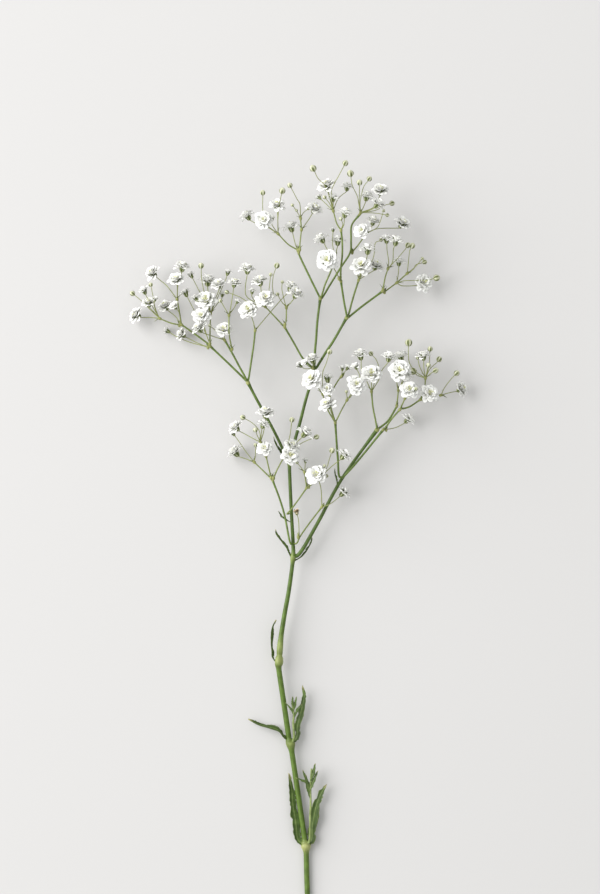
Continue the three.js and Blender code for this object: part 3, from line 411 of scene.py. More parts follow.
      ["root", "open", 2.8, 15, [31.6, 208.2], [32.6, 211.6], [35.2, 215], [35.8, 218.6]],
    ],
  },
  "cluster_right_middle": {
    "stem": [0.42, 0.38, [[31.4, 188.6, 9.8], [35.2, 191.6, 9.2], [38.4, 196.8, 9], [38.8, 197.8, 9]]],
    "forks": { "a": ["root", 11, [39.4, 204]] },
    "heads": [
      ["a", "open", 4.4, 13, [38.8, 206.8], [39.4, 210.6], [39.8, 212.6]],
      ["a", "open", 2.8, 7, [41, 208], [41.4, 214], [40, 218.8]],
      ["a", "open", 2.2, 18, [41.6, 208], [43, 211]],
    ],
  },
  "cluster_right_low": {
    "stem": [0.38, 0.34, [[34.3, 189.1, 12], [36.8, 192.6, 12.1], [40, 196.2, 12.2]]],
    "forks": { "a": ["root", 14.4, [42, 200.8]] },
    "heads": [
      ["a", "open", 3.6, 16, [43.2, 202.6], [43.8, 204.6]],
      ["a", "bud", 0.8, 19, [44.6, 202], [46.2, 204.4]],
    ],
  },
  "cluster_right_top": {
    "stem": [0.34, 0.32, [[41, 196.5, 11.6], [44, 197.4, 11], [48.2, 200.2, 10.2]]],
    "forks": { "a": ["root", 12, [49.8, 204.6], [50.2, 208.8]] },
    "heads": [
      ["a", "open", 2.6, 15, [49.6, 211.8], [49.4, 215.6], [49.2, 218.8]],
      ["a", "bud", 1.5, 9, [46.2, 211.4], [43.8, 215], [43.4, 219], [43.6, 223]],
      ["a", "bud", 0.7, 13, [48, 213], [47, 216.8]],
      ["a", "bud", 1.5, 7, [47.2, 209.8], [45.4, 211.6]],
      ["a", "bud", 1, 18, [50.6, 211], [51.2, 213.8]],
      ["a", "bud", 1.1, 13, [51.6, 214], [52, 220.4]],
      ["a", "bud", 1.2, 8, [52, 212.4], [54.8, 215], [55.8, 216.4]],
      ["a", "bud", 1.2, 14, [52, 210.4], [54.2, 211.8]],
    ],
  },
  "cluster_right_far": {
    "root": [49.1, 200.5, 9.8],
    "forks": { "a": ["root", 7.4, [53, 201.2], [56.6, 202]] },
    "heads": [
      ["root", "open", 3.6, 13, [51, 201.6], [52.4, 203.4]],
      ["a", "open", 2.8, 3, [60, 203], [63, 203.6], [65.8, 205]],
      ["a", "bud", 1.2, 8, [58, 205], [60.4, 208.2], [62.8, 210.8]],
    ],
  },
  "cluster_right_underside": {
    "root": [34.5, 188.2, 11.2],
    "heads": [
      ["root", "open", 2.6, 2.9, [38.4, 189], [42, 190.8], [44.4, 193.4]],
    ],
  },
  "cluster_low_left_outer": {
    "stem": [0.42, 0.4, [[-4, 143, 8.2], [-6, 153, 8.6], [-8, 160, 8.9], [-11, 168, 9.2]]],
    "forks": { "a": ["root", 8, [-18.4, 175.2]] },
    "heads": [
      ["a", "open", 3.1, 3.3, [-21.6, 176.4], [-24.6, 177.4], [-27.2, 180.4]],
      ["a", "half", 1.2, 8, [-21.6, 179.2], [-24.6, 183.6], [-27, 186.8]],
      ["a", "bud", 0.8, 12, [-17.8, 178], [-17.8, 182]],
    ],
  },
  "cluster_low_left_inner": {
    "root": [-11.6, 169, 10],
    "forks": { "a": ["root", 12, [-13.6, 177.6]], "b": ["a", 14, [-15.8, 183.2]] },
    "heads": [
      ["a", "open", 2.8, 13, [-13.8, 179.4], [-14, 181.2]],
      ["b", "open", 2.6, 11, [-18.4, 184.4], [-22, 186.4], [-24.4, 187.6], [-26.4, 190]],
      ["b", "bud", 1, 18, [-17, 185.6], [-17.8, 188]],
      ["b", "bud", 1.1, 16, [-16.2, 187.4], [-18.8, 190.6], [-22.8, 193]],
      ["b", "open", 2.2, 19.4, [-15.2, 188.4], [-14.4, 191.2]],
      ["b", "open", 3.4, 18, [-14.6, 187], [-13.6, 192.4], [-14, 196.4]],
    ],
  },
  "cluster_low_middle": {
    "root": [-10.6, 168.8, 10.4],
    "forks": { "a": ["root", 14, [-9, 172.4], [-6.6, 176.8]] },
    "heads": [
      ["a", "open", 3.6, 15, [-4.8, 177.6], [-3.6, 178.4]],
      ["a", "open", 2.8, 17, [-4, 180], [-2.6, 182.6]],
      ["a", "bud", 1.1, 21, [-4.2, 184.8], [-3.2, 192]],
      ["a", "open", 3.1, 19, [-2, 182.4], [0.8, 185], [3.2, 188.4]],
      ["a", "bud", 1.1, 16, [0.4, 182.6], [6.6, 185.2]],
    ],
  },
  "cluster_crossing_up": {
    "stem": [0.3, 0.3, [[-5.2, 154.4, 9.9], [-3.4, 156.4, 11.1], [0, 161, 10.9], [2.7, 164.9, 10.4]]],
    "forks": { "a": ["root", 12.4, [1.8, 171.2]] },
    "heads": [
      ["a", "half", 1.1, 14, [2, 173], [2.2, 176]],
      ["a", "bud", 0.7, 13.6, [0.4, 173], [-1.2, 175]],
    ],
  },
  "cluster_crossing_right": {
    "root": [3.5, 165.4, 10],
    "forks": { "a": ["root", 11, [6.8, 168], [8.8, 169.8]] },
    "heads": [
      ["a", "open", 3, 17, [12.6, 173.4, 14.6], [16.2, 176.2], [18.8, 179.4]],
      ["a", "bud", 1.2, 18, [10.6, 172.6], [11.6, 176], [12.8, 179.8]],
      ["a", "bud", 0.7, 14, [9.8, 173.6]],
      ["a", "bud", 0.8, 10, [10.6, 169.6]],
    ],
  },
  "cluster_low_right": {
    "stem": [0.32, 0.3, [[-1.3, 142.6, 8.2], [0.2, 145.6, 8.9], [4, 151, 9.3], [8.8, 157.2, 9.3]]],
    "heads": [
      ["root", "open", 4, 12.8, [8.4, 164.4], [7.2, 168.8], [6.4, 171.2]],
      ["root", "open", 2.6, 2.9, [10.8, 157.8, 10.3], [12.8, 158.9, 10.4], [16, 161.4], [18.8, 164.4]],
    ],
  },
  "cluster_low_withered": {
    "root": [-0.7, 145.2, 9.6],
    "heads": [
      ["root", "half", 1.7, 14, [-0.4, 148, 11], [-0.6, 152], [-1.6, 156]],
    ],
  },
}

print(len(CLUSTERS), "clusters with", sum(len(c["heads"]) for c in CLUSTERS.values()), "heads")

# %% [markdown]
# ## From routes to points
# A stalk on the real plant bends gently between its joints and never has a corner, so every route is
# turned into a smooth curve through its points. Heights that the list leaves out rise evenly along
# the stalk. A head sits one reach past the end of its stalk and looks the way the stalk grows; when
# its middle is right over the end, it looks straight up.

# %% Smooth routes and seated heads
def smooth(points, steps=5):
    """A Catmull-Rom curve through the points, as a list of vectors."""
    spots = [Vector(p) for p in points]
    if len(spots) < 3:
        return [spots[0].lerp(spots[-1], i / steps) for i in range(steps + 1)]
    ends = [2 * spots[0] - spots[1]] + spots + [2 * spots[-1] - spots[-2]]
    line = []
    for i in range(1, len(ends) - 2):
        a, b, c, d = ends[i - 1:i + 3]
        for k in range(steps):
            t = k / steps
            line.append(0.5 * (2 * b + (c - a) * t + (2 * a - 5 * b + 4 * c - d) * t ** 2
                               + (3 * b - a - 3 * c + d) * t ** 3))
    return line + [spots[-1]]


def rise(start, points, end_height):
    """Fill in the heights that a route leaves out."""
    route = [list(start)] + [list(p) for p in points]
    if len(route[-1]) < 3:
        route[-1].append(end_height)
    known = 0
    for k in range(1, len(route)):
        if len(route[k]) < 3:
            continue
        span = [0.0]
        for i in range(known + 1, k + 1):
            span.append(span[-1] + math.dist(route[i][:2], route[i - 1][:2]))
        for i in range(known + 1, k):
            share = span[i - known] / span[-1]
            route[i].append(route[known][2] + share * (route[k][2] - route[known][2]))
        known = k
    return route


def seat(kind, radius, route):
    """The stalk's points, the end of the stalk and the way that the head looks."""
    length = REACH[kind] * radius
    stalk = [Vector(p) for p in route]
    middle = stalk.pop()
    base = stalk[-1]
    gap = (middle - base).to_2d().length
    if gap > 1.3 * length:
        base = middle + (base - middle).normalized() * length
        stalk.append(base)
    else:
        middle.z = base.z + math.sqrt(max(length ** 2 - gap ** 2, 0))
    return stalk, base, (middle - base).normalized()


def to_scene(point):
    return (Vector(point) - ORIGIN) * MM


# %% [markdown]
# ## A skeleton mesh
# Geometry Nodes need something to read. Each cluster becomes a skeleton: edges along its stalks, and
# single points where a fork or a head sits. The points carry what a node tree has to know: the part
# that grows there, its size, the way it looks and how far it is turned about its own axis.

# %% Skeletons
STALK, FORK, OPEN, HALF, BUD, WITHERED = range(6)
PART_OF = {"open": OPEN, "half": HALF, "bud": BUD}


class Skeleton:
    def __init__(self):
        self.verts, self.edges = [], []
        self.values = {"part": [], "girth": [], "size": [], "spin": [], "pale": [], "axis": []}

    def point(self, place, part, girth=0.0, size=0.0, axis=(0, 0, 1), spin=0.0, pale=0.0):
        self.verts.append(to_scene(place))
        row = {"part": part, "girth": girth * MM, "size": size * MM, "spin": spin, "pale": pale,
               "axis": tuple(axis)}
        for key, value in row.items():
            self.values[key].append(value)
        return len(self.verts) - 1

    def stalk(self, line, girth_at, pale_at=lambda u: 0.0):
        last = None
        for i, place in enumerate(line):
            u = i / (len(line) - 1)
            here = self.point(place, STALK, girth_at(u), pale=pale_at(u))
            if last is not None:
                self.edges.append((last, here))
            last = here

    def build(self, name):
        mesh = bpy.data.meshes.new(name)
        mesh.from_pydata(self.verts, self.edges, [])
        kinds = {"part": "INT", "axis": "FLOAT_VECTOR"}
        for key, values in self.values.items():
            layer = mesh.attributes.new(key, kinds.get(key, "FLOAT"), "POINT")
            if key == "axis":
                layer.data.foreach_set("vector", [v for axis in values for v in axis])
            else:
                layer.data.foreach_set("value", values)
        obj = bpy.data.objects.new(name, mesh)
        bpy.context.scene.collection.objects.link(obj)
        return obj


def swollen(first, last, at_start=0.25, at_end=0.3):
    """A radius along a stalk: a taper that swells into the joint at each end."""
    def girth(u):
        return (first + (last - first) * u) * (1 + at_start * math.exp(-(u / 0.05) ** 2)
                                               + at_end * math.exp(-((1 - u) / 0.05) ** 2))
    return girth


def nearest(place, lines, reach=6.0):
    """The closest point of any line, or nothing if all of them are out of reach."""
    found = min((spot for line in lines for spot in line), key=lambda s: (s - Vector(place)).length)
    return [tuple(found)] if 0.2 < (found - Vector(place)).length < reach else []


TRUNKS = [smooth(STEM_ROUTE, steps=20)]
for first, last, route in BRANCHES.values():
    TRUNKS.append(smooth(nearest(route[0], TRUNKS) + route, steps=8))


def cluster_skeleton(name, cluster, dice):
    bones = Skeleton()
    stem = cluster.get("stem")
    root = cluster.get("root") or stem[2][-1]
    places = {"root": root}
    ways = {"root": Vector((0, 1, 0))}
    if stem:
        line = smooth(nearest(stem[2][0], TRUNKS) + stem[2])
        bones.stalk(line, swollen(stem[0], stem[1]))
        ways["root"] = (line[-1] - line[-3]).normalized()
    forks = cluster.get("forks", {})
    for fork, (parent, height, *points) in forks.items():
        route = rise(places[parent], points, height)
        line = smooth(route)
        bones.stalk(line, swollen(TWIG_RADIUS, FORK_RADIUS))
        places[fork] = route[-1]
        ways[fork] = (line[-1] - line[-3]).normalized()
    for fork, place in places.items():
        bones.point(place, FORK, size=1.15, axis=ways[fork], spin=dice.uniform(0, math.tau))
    for fork, kind, radius, height, *points in cluster["heads"]:
        stalk, base, axis = seat(kind, radius, rise(places[fork], points, height))
        thread = STALK_RADIUS * (0.78 + 0.05 * radius)
        bones.stalk(smooth(stalk + [base + axis * 0.25 * radius]), swollen(thread, thread * 0.85))
        part = WITHERED if name.endswith("withered") else PART_OF[kind]
        full = {"open": 0.7 * radius + 0.95, "half": 1.12 * radius, "bud": radius}[kind]
        bones.point(base, part, size=full, axis=axis, spin=dice.uniform(0, math.tau))
    return bones.build(name + "_skeleton")


dice = random.Random(SEED)
SKELETONS = {name: cluster_skeleton(name, cluster, dice) for name, cluster in CLUSTERS.items()}
print("points", sum(len(s.data.vertices) for s in SKELETONS.values()))

# %% [markdown]
# ## Finishes
# The stem is waxy and green, with fine ribs along it, and it pales to olive as the stalks thin. Sepals
# are green with a pale papery edge. Buds are cream with green ribs. Petals are white, a little green
# at their narrow foot, and matte. Light that sinks in and spreads was tried for them and dropped: a
# petal is so thin that the light was lost, and the flowers went grey. Each finish is its own graph.
# Flat colours would look like plastic; here most tones wander with noise, and the
# colour along a petal or a stalk comes from an attribute that was stored when the piece was made.

# %% Finishes
def new_material(name, roughness):
    material = bpy.data.materials.new(name)
    material.use_nodes = True
    shader = material.node_tree.nodes["Principled BSDF"]
    shader.inputs["Roughness"].default_value = roughness
    shader.inputs["Specular IOR Level"].default_value = 0.35
    return material, material.node_tree, shader


def srgb(text):
    """A colour written as six hexadecimal digits, as linear light."""
    tones = [int(text[i:i + 2], 16) / 255 for i in (0, 2, 4)]
    return [t / 12.92 if t <= 0.04045 else ((t + 0.055) / 1.055) ** 2.4 for t in tones] + [1.0]


def ramp(tree, value, stops):
    node = tree.nodes.new("ShaderNodeValToRGB")
    band = node.color_ramp
    while len(band.elements) < len(stops):
        band.elements.new(0.5)
    for element, (place, colour) in zip(band.elements, stops):
        element.position = place
        element.color = srgb(colour)
    tree.links.new(value, node.inputs["Fac"])
    return node.outputs["Color"]


def attribute(tree, name):
    node = tree.nodes.new("ShaderNodeAttribute")
    node.attribute_name = name
    return node.outputs["Fac"]


def noise(tree, scale, stretch=(1, 1, 1), detail=3.0):
    place = tree.nodes.new("ShaderNodeTexCoord")
    mapping = tree.nodes.new("ShaderNodeMapping")
    mapping.inputs["Scale"].default_value = stretch
    texture = tree.nodes.new("ShaderNodeTexNoise")
    texture.inputs["Scale"].default_value = scale
    texture.inputs["Detail"].default_value = detail
    tree.links.new(place.outputs["Object"], mapping.inputs["Vector"])
    tree.links.new(mapping.outputs["Vector"], texture.inputs["Vector"])
    return texture.outputs["Fac"]


def mix(tree, share, first, second, blend="MIX"):
    node = tree.nodes.new("ShaderNodeMix")
    node.data_type = "RGBA"
    node.blend_type = blend
    sockets = [s for s in node.inputs if s.enabled]
    for socket, value in zip(sockets, (share, first, second)):
        if isinstance(value, bpy.types.NodeSocket):
            tree.links.new(value, socket)
        else:
            socket.default_value = value
    return next(s for s in node.outputs if s.enabled)


def arithmetic(tree, kind, first, second):
    node = tree.nodes.new("ShaderNodeMath")
    node.operation = kind
    for socket, value in zip(node.inputs, (first, second)):
        if isinstance(value, bpy.types.NodeSocket):
            tree.links.new(value, socket)
        else:
            socket.default_value = value
    return node.outputs["Value"]


def bump(tree, shader, height, strength, depth):
    node = tree.nodes.new("ShaderNodeBump")
    node.inputs["Strength"].default_value = strength
    node.inputs["Distance"].default_value = depth
    tree.links.new(height, node.inputs["Height"])
    tree.links.new(node.outputs["Normal"], shader.inputs["Normal"])


def stem_material():
    material, tree, shader = new_material("stem_green_wax", 0.42)
    girth = arithmetic(tree, "DIVIDE", attribute(tree, "girth"), STEM_RADIUS * MM)
    tone = ramp(tree, girth, [(0.1, "A5A96C"), (0.22, "95A05C"), (0.38, "728842"), (0.6, "536C29"),
                              (1.0, "637E30")])
    tone = mix(tree, attribute(tree, "pale"), tone, srgb("C9CB8C"))
    patches = ramp(tree, noise(tree, 420), [(0.35, "CFCFC0"), (0.7, "FFFFFF")])
    tone = mix(tree, 1.0, tone, patches, "MULTIPLY")
    ribs = noise(tree, 2600, (1, 0.06, 1))
    streaks = ramp(tree, ribs, [(0.35, "D8DCC8"), (0.65, "FFFFFF")])
    tree.links.new(mix(tree, 0.7, tone, streaks, "MULTIPLY"), shader.inputs["Base Color"])
    bump(tree, shader, ribs, 0.35, 0.0001)
    return material


def sepal_material():
    material, tree, shader = new_material("sepal_green", 0.55)
    tone = ramp(tree, attribute(tree, "rise"), [(0.0, "727B3A"), (0.5, "52602A"), (0.9, "5E6A30")])
    edge = ramp(tree, attribute(tree, "edge"), [(0.45, "000000"), (0.95, "FFFFFF")])
    tone = mix(tree, edge, tone, srgb("CDD0A8"))
    patches = ramp(tree, noise(tree, 900), [(0.3, "C8CCB8"), (0.7, "FFFFFF")])
    tree.links.new(mix(tree, 1.0, tone, patches, "MULTIPLY"), shader.inputs["Base Color"])
    bump(tree, shader, noise(tree, 2500), 0.3, 0.0001)
    return material


def bud_material():
    material, tree, shader = new_material("bud_cream", 0.55)
    cream = ramp(tree, noise(tree, 1200), [(0.3, "B9BB96"), (0.7, "DADBC2")])
    rib = ramp(tree, attribute(tree, "edge"), [(0.35, "FFFFFF"), (0.75, "000000")])
    low = ramp(tree, attribute(tree, "rise"), [(0.6, "FFFFFF"), (0.95, "000000")])
    green = ramp(tree, noise(tree, 900), [(0.3, "515B2C"), (0.7, "6F7744")])
    striped = mix(tree, rib, cream, green)
    tone = mix(tree, low, cream, striped)
    tree.links.new(tone, shader.inputs["Base Color"])
    return material


def petal_material(name, foot, blade, tip):
    material, tree, shader = new_material(name, 0.8)
    tone = ramp(tree, attribute(tree, "rise"), [(0.0, foot), (0.3, blade), (1.0, tip)])
    veins = ramp(tree, noise(tree, 1500), [(0.3, "F6F5F1"), (0.65, "FFFFFF")])
    shader.inputs["Specular IOR Level"].default_value = 0.2
    tree.links.new(mix(tree, 1.0, tone, veins, "MULTIPLY"), shader.inputs["Base Color"])
    return material


def leaf_material():
    material, tree, shader = new_material("leaf_green_matte", 0.5)
    across = ramp(tree, attribute(tree, "edge"), [(0.0, "94A366"), (0.14, "5A7232"),
                                                  (0.75, "465E22"), (1.0, "93A166")])
    patches = ramp(tree, noise(tree, 500), [(0.3, "B4BCA6"), (0.72, "FFFFFF")])
    tone = mix(tree, 1.0, across, patches, "MULTIPLY")
    tip = ramp(tree, attribute(tree, "rise"), [(0.9, "000000"), (1.0, "FFFFFF")])
    tree.links.new(mix(tree, tip, tone, srgb("A9A272")), shader.inputs["Base Color"])
    bump(tree, shader, noise(tree, 1800, (1, 0.3, 1)), 0.4, 0.0002)
    return material


STEM_GREEN = stem_material()
SEPAL_GREEN = sepal_material()
BUD_CREAM = bud_material()
PETAL_WHITE = petal_material("petal_white_silk", "E2E6C0", "FCFCF9", "FEFEFD")
PETAL_FADED = petal_material("petal_withered", "B59A78", "CDB394", "D8C4AA")
CENTRE_GREEN = petal_material("flower_centre_green", "B9BE6A", "D2D590", "E6E7B8")
LEAF_GREEN = leaf_material()
print("finishes", LEAF_GREEN.name, STEM_GREEN.name, PETAL_WHITE.name)

# %% [markdown]
# ## Shapes that repeat
# One calyx, one bud, one petal, one stamen and one bract are made from given numbers, in units of the
# head's radius, with their foot at the origin and growing along +Z. Each is closed and has a few dozen
# faces, because there are many copies. "rise" runs from foot to tip and "edge" from the middle to the
# margin; the finishes read both. A petal is a thin lens: its two sides share their rim and part in the
# middle.

# %% Shapes that repeat
def shape(name, verts, faces, rise_of, edge_of):
    mesh = bpy.data.meshes.new(name)
    mesh.from_pydata(verts, [], faces)
    for key, values in (("rise", rise_of), ("edge", edge_of)):
        mesh.attributes.new(key, "FLOAT", "POINT").data.foreach_set("value", values)
    mesh.shade_smooth()
    obj = bpy.data.objects.new(name, mesh)
    bpy.context.scene.collection.objects.link(obj)
    return obj


def turned(name, rows, sides, lobes=0):
    """A closed turned shape. rows: (radius, height, rise); the first and last rows are points."""
    verts, rises, edges, faces = [(0, 0, rows[0][1])], [rows[0][2]], [0.0], []
    for radius, height, rise_value in rows[1:-1]:
        for k in range(sides):
            angle = math.tau * k / sides
            lobe = 0.5 + 0.5 * math.cos(lobes * angle) if lobes else 0.0
            lift = height[0] + (height[1] - height[0]) * lobe if isinstance(height, tuple) else height
            wide = radius[0] + (radius[1] - radius[0]) * lobe if isinstance(radius, tuple) else radius
            verts.append((wide * math.cos(angle), wide * math.sin(angle), lift))
            rises.append(rise_value)
            edges.append(1 - lobe if lobes else 0.0)
    verts.append((0, 0, rows[-1][1]))
    rises.append(rows[-1][2])
    edges.append(0.5)
    last = len(verts) - 1
    for k in range(sides):
        after = (k + 1) % sides
        faces.append((0, 1 + after, 1 + k))
        for j in range(len(rows) - 3):
            low, high = 1 + j * sides, 1 + (j + 1) * sides
            faces.append((low + k, low + after, high + after, high + k))
        top = 1 + (len(rows) - 3) * sides
        faces.append((top + k, top + after, last))
    return shape(name, verts, faces, rises, edges)


def lens(name, outline, thickness, bend, cup, notch=0.0, columns=4):
    """A thin closed blade. outline: (half width, place along it); bend leans the tip outwards (+X)."""
    verts, rises, edges, faces = [], [], [], []
    rows = []
    for half, u in outline:
        row = []
        for side in (1, -1):
            line = []
            for c in range(columns + 1):
                v = 2 * c / columns - 1
                if side == -1 and c in (0, columns):
                    line.append(row[0][c])
                    continue
                up = u - notch * u ** 6 * (1 - abs(v)) - 0.12 * u ** 4 * v * v
                out = bend * u * u - cup * half * v * v + side * thickness * (1 - v * v)
                verts.append((out, half * v, up))
                rises.append(u)
                edges.append(abs(v))
                line.append(len(verts) - 1)
            row.append(line)
        rows.append(row)
    for (back_a, front_a), (back_b, front_b) in zip(rows, rows[1:]):
        for c in range(columns):
            faces.append((back_a[c], back_a[c + 1], back_b[c + 1], back_b[c]))
            faces.append((front_a[c], front_b[c], front_b[c + 1], front_a[c + 1]))
    for end, turn in ((rows[0], 1), (rows[-1], -1)):
        ring = end[0] + end[1][-2:0:-1]
        faces.append(tuple(ring[::-turn]))
    return shape(name, verts, faces, rises, edges)


CALYX = turned("calyx_shape", [
    (0, 0.0, 0), (0.16, 0.03, 0.1), (0.27, 0.16, 0.3), (0.32, 0.32, 0.5), (0.34, (0.36, 0.62), 0.7),
    ((0.32, 0.62), (0.37, 1.12), 1.0), ((0.29, 0.58), (0.36, 1.10), 1.0), (0.27, 0.33, 0.6),
    (0.20, 0.25, 0.5), (0, 0.2, 0.4)], 20, lobes=5)
BUD_SHAPE = turned("bud_shape", [
    (0, 0.0, 0), (0.26, 0.02, 0.0), (0.62, 0.22, 0.15), ((0.86, 0.94), 0.62, 0.35),
    ((0.92, 1.0), 1.02, 0.5), ((0.84, 0.92), 1.42, 0.7), ((0.58, 0.64), 1.76, 0.85),
    (0.26, 1.98, 1.0), (0, 2.06, 1.0)], 20, lobes=5)
PETAL = lens("petal_shape", [(0.05, 0.0), (0.08, 0.25), (0.19, 0.5), (0.30, 0.74), (0.29, 0.92),
                             (0.16, 1.02)], 0.009, 0.28, 0.35, notch=0.1)
BRACT = lens("bract_shape", [(0.16, 0.0), (0.22, 0.3), (0.16, 0.65), (0.02, 1.0)], 0.03, 0.1, 0.4,
             columns=2)
STAMEN = turned("stamen_shape", [
    (0, 0, 0), (0.03, 0.02, 0), (0.02, 0.6, 0.4), (0.06, 0.66, 0.8), (0.07, 0.76, 1), (0, 0.84, 1)], 6)
OVARY = turned("ovary_shape", [
    (0, 0, 0), (0.14, 0.02, 0.1), (0.19, 0.14, 0.3), (0.15, 0.28, 0.6), (0.05, 0.36, 0.8),
    (0, 0.38, 0.9)], 10)
KNUCKLE = turned("knuckle_shape", [
    (0, -0.9, 0), (0.36, -0.72, 0), (0.52, -0.3, 0), (0.56, 0.1, 0.5), (0.42, 0.48, 0.8), (0, 0.66, 1)],
    8)
SHAPES = [CALYX, BUD_SHAPE, PETAL, BRACT, STAMEN, OVARY, KNUCKLE]
print({s.name: len(s.data.polygons) for s in SHAPES})

# %% [markdown]
# ## A node group that skins stalks
# A stalk could be a curve object with a bevel, but hundreds of them with changing thickness are easier
# as one mesh of edges. This group turns the edges into curves, rounds them with a circle whose size
# follows the stored radius, and closes the ends.

# %% The skin group
def tree_with(name, sockets):
    tree = bpy.data.node_groups.new(name, "GeometryNodeTree")
    tree.interface.new_socket("Geometry", in_out="INPUT", socket_type="NodeSocketGeometry")
    for label, kind, value in sockets:
        socket = tree.interface.new_socket(label, in_out="INPUT", socket_type="NodeSocket" + kind)
        if value is not None:
            socket.default_value = value
    tree.interface.new_socket("Geometry", in_out="OUTPUT", socket_type="NodeSocketGeometry")
    tree.nodes.new("NodeGroupInput")
    tree.nodes.new("NodeGroupOutput")
    return tree


def node(tree, kind, inputs=(), **settings):
    """Add a node. inputs maps a socket's name or number to a value or to another socket."""
    made = tree.nodes.new(kind)
    for key, value in settings.items():
        setattr(made, key, value)
    for key, value in dict(inputs).items():
        live = [s for s in made.inputs if s.enabled]
        socket = live[key] if isinstance(key, int) else next(s for s in live if s.name == key)
        if isinstance(value, bpy.types.NodeSocket):
            tree.links.new(value, socket)
        else:
            socket.default_value = value
    return made


def out(made, name=None):
    live = [s for s in made.outputs if s.enabled]
    return next(s for s in live if s.name == name) if name else live[0]


def stored(tree, name, kind="FLOAT"):
    return out(node(tree, "GeometryNodeInputNamedAttribute", {"Name": name}, data_type=kind))


def maths(tree, kind, first, second=0.0):
    return out(node(tree, "ShaderNodeMath", {0: first, 1: second}, operation=kind))


def only_part(tree, geometry, part):
    """The points of one part of the skeleton."""
    same = node(tree, "FunctionNodeCompare", {0: stored(tree, "part", "INT"), 1: part},
                data_type="INT", operation="EQUAL")
    return out(node(tree, "GeometryNodeSeparateGeometry", {"Geometry": geometry, "Selection": out(same)},
                    domain="POINT"), "Selection")


def build_skin():
    tree = tree_with("Skin of stalks", [("Sides", "Int", 8), ("Material", "Material", None)])
    given = tree.nodes["Group Input"].outputs
    bones = only_part(tree, given["Geometry"], STALK)
    curve = out(node(tree, "GeometryNodeMeshToCurve", {"Mesh": bones}))
    circle = out(node(tree, "GeometryNodeCurvePrimitiveCircle",
                      {"Resolution": given["Sides"], "Radius": 1.0}))
    tube = out(node(tree, "GeometryNodeCurveToMesh",
                    {"Curve": curve, "Profile Curve": circle, "Scale": stored(tree, "girth"),
                     "Fill Caps": True}))
    smoothed = out(node(tree, "GeometryNodeSetShadeSmooth", {"Geometry": tube}))
    painted = node(tree, "GeometryNodeSetMaterial", {"Geometry": smoothed, "Material": given["Material"]})
    tree.links.new(out(painted), tree.nodes["Group Output"].inputs[0])
    return tree


SKIN = build_skin()
print("skin nodes", len(SKIN.nodes))

# %% [markdown]
# ## A node group that places whorls
# Sepals, petals and stamens all sit in whorls: copies of one shape about an axis, each turned on from
# the last. In this plant the petals of a double flower follow the golden angle, the inner ones upright
# and the outer ones spread. The group copies each head's point, turns the copies, tips them by their
# rank, and crumples the result a little, so that no two petals are alike.

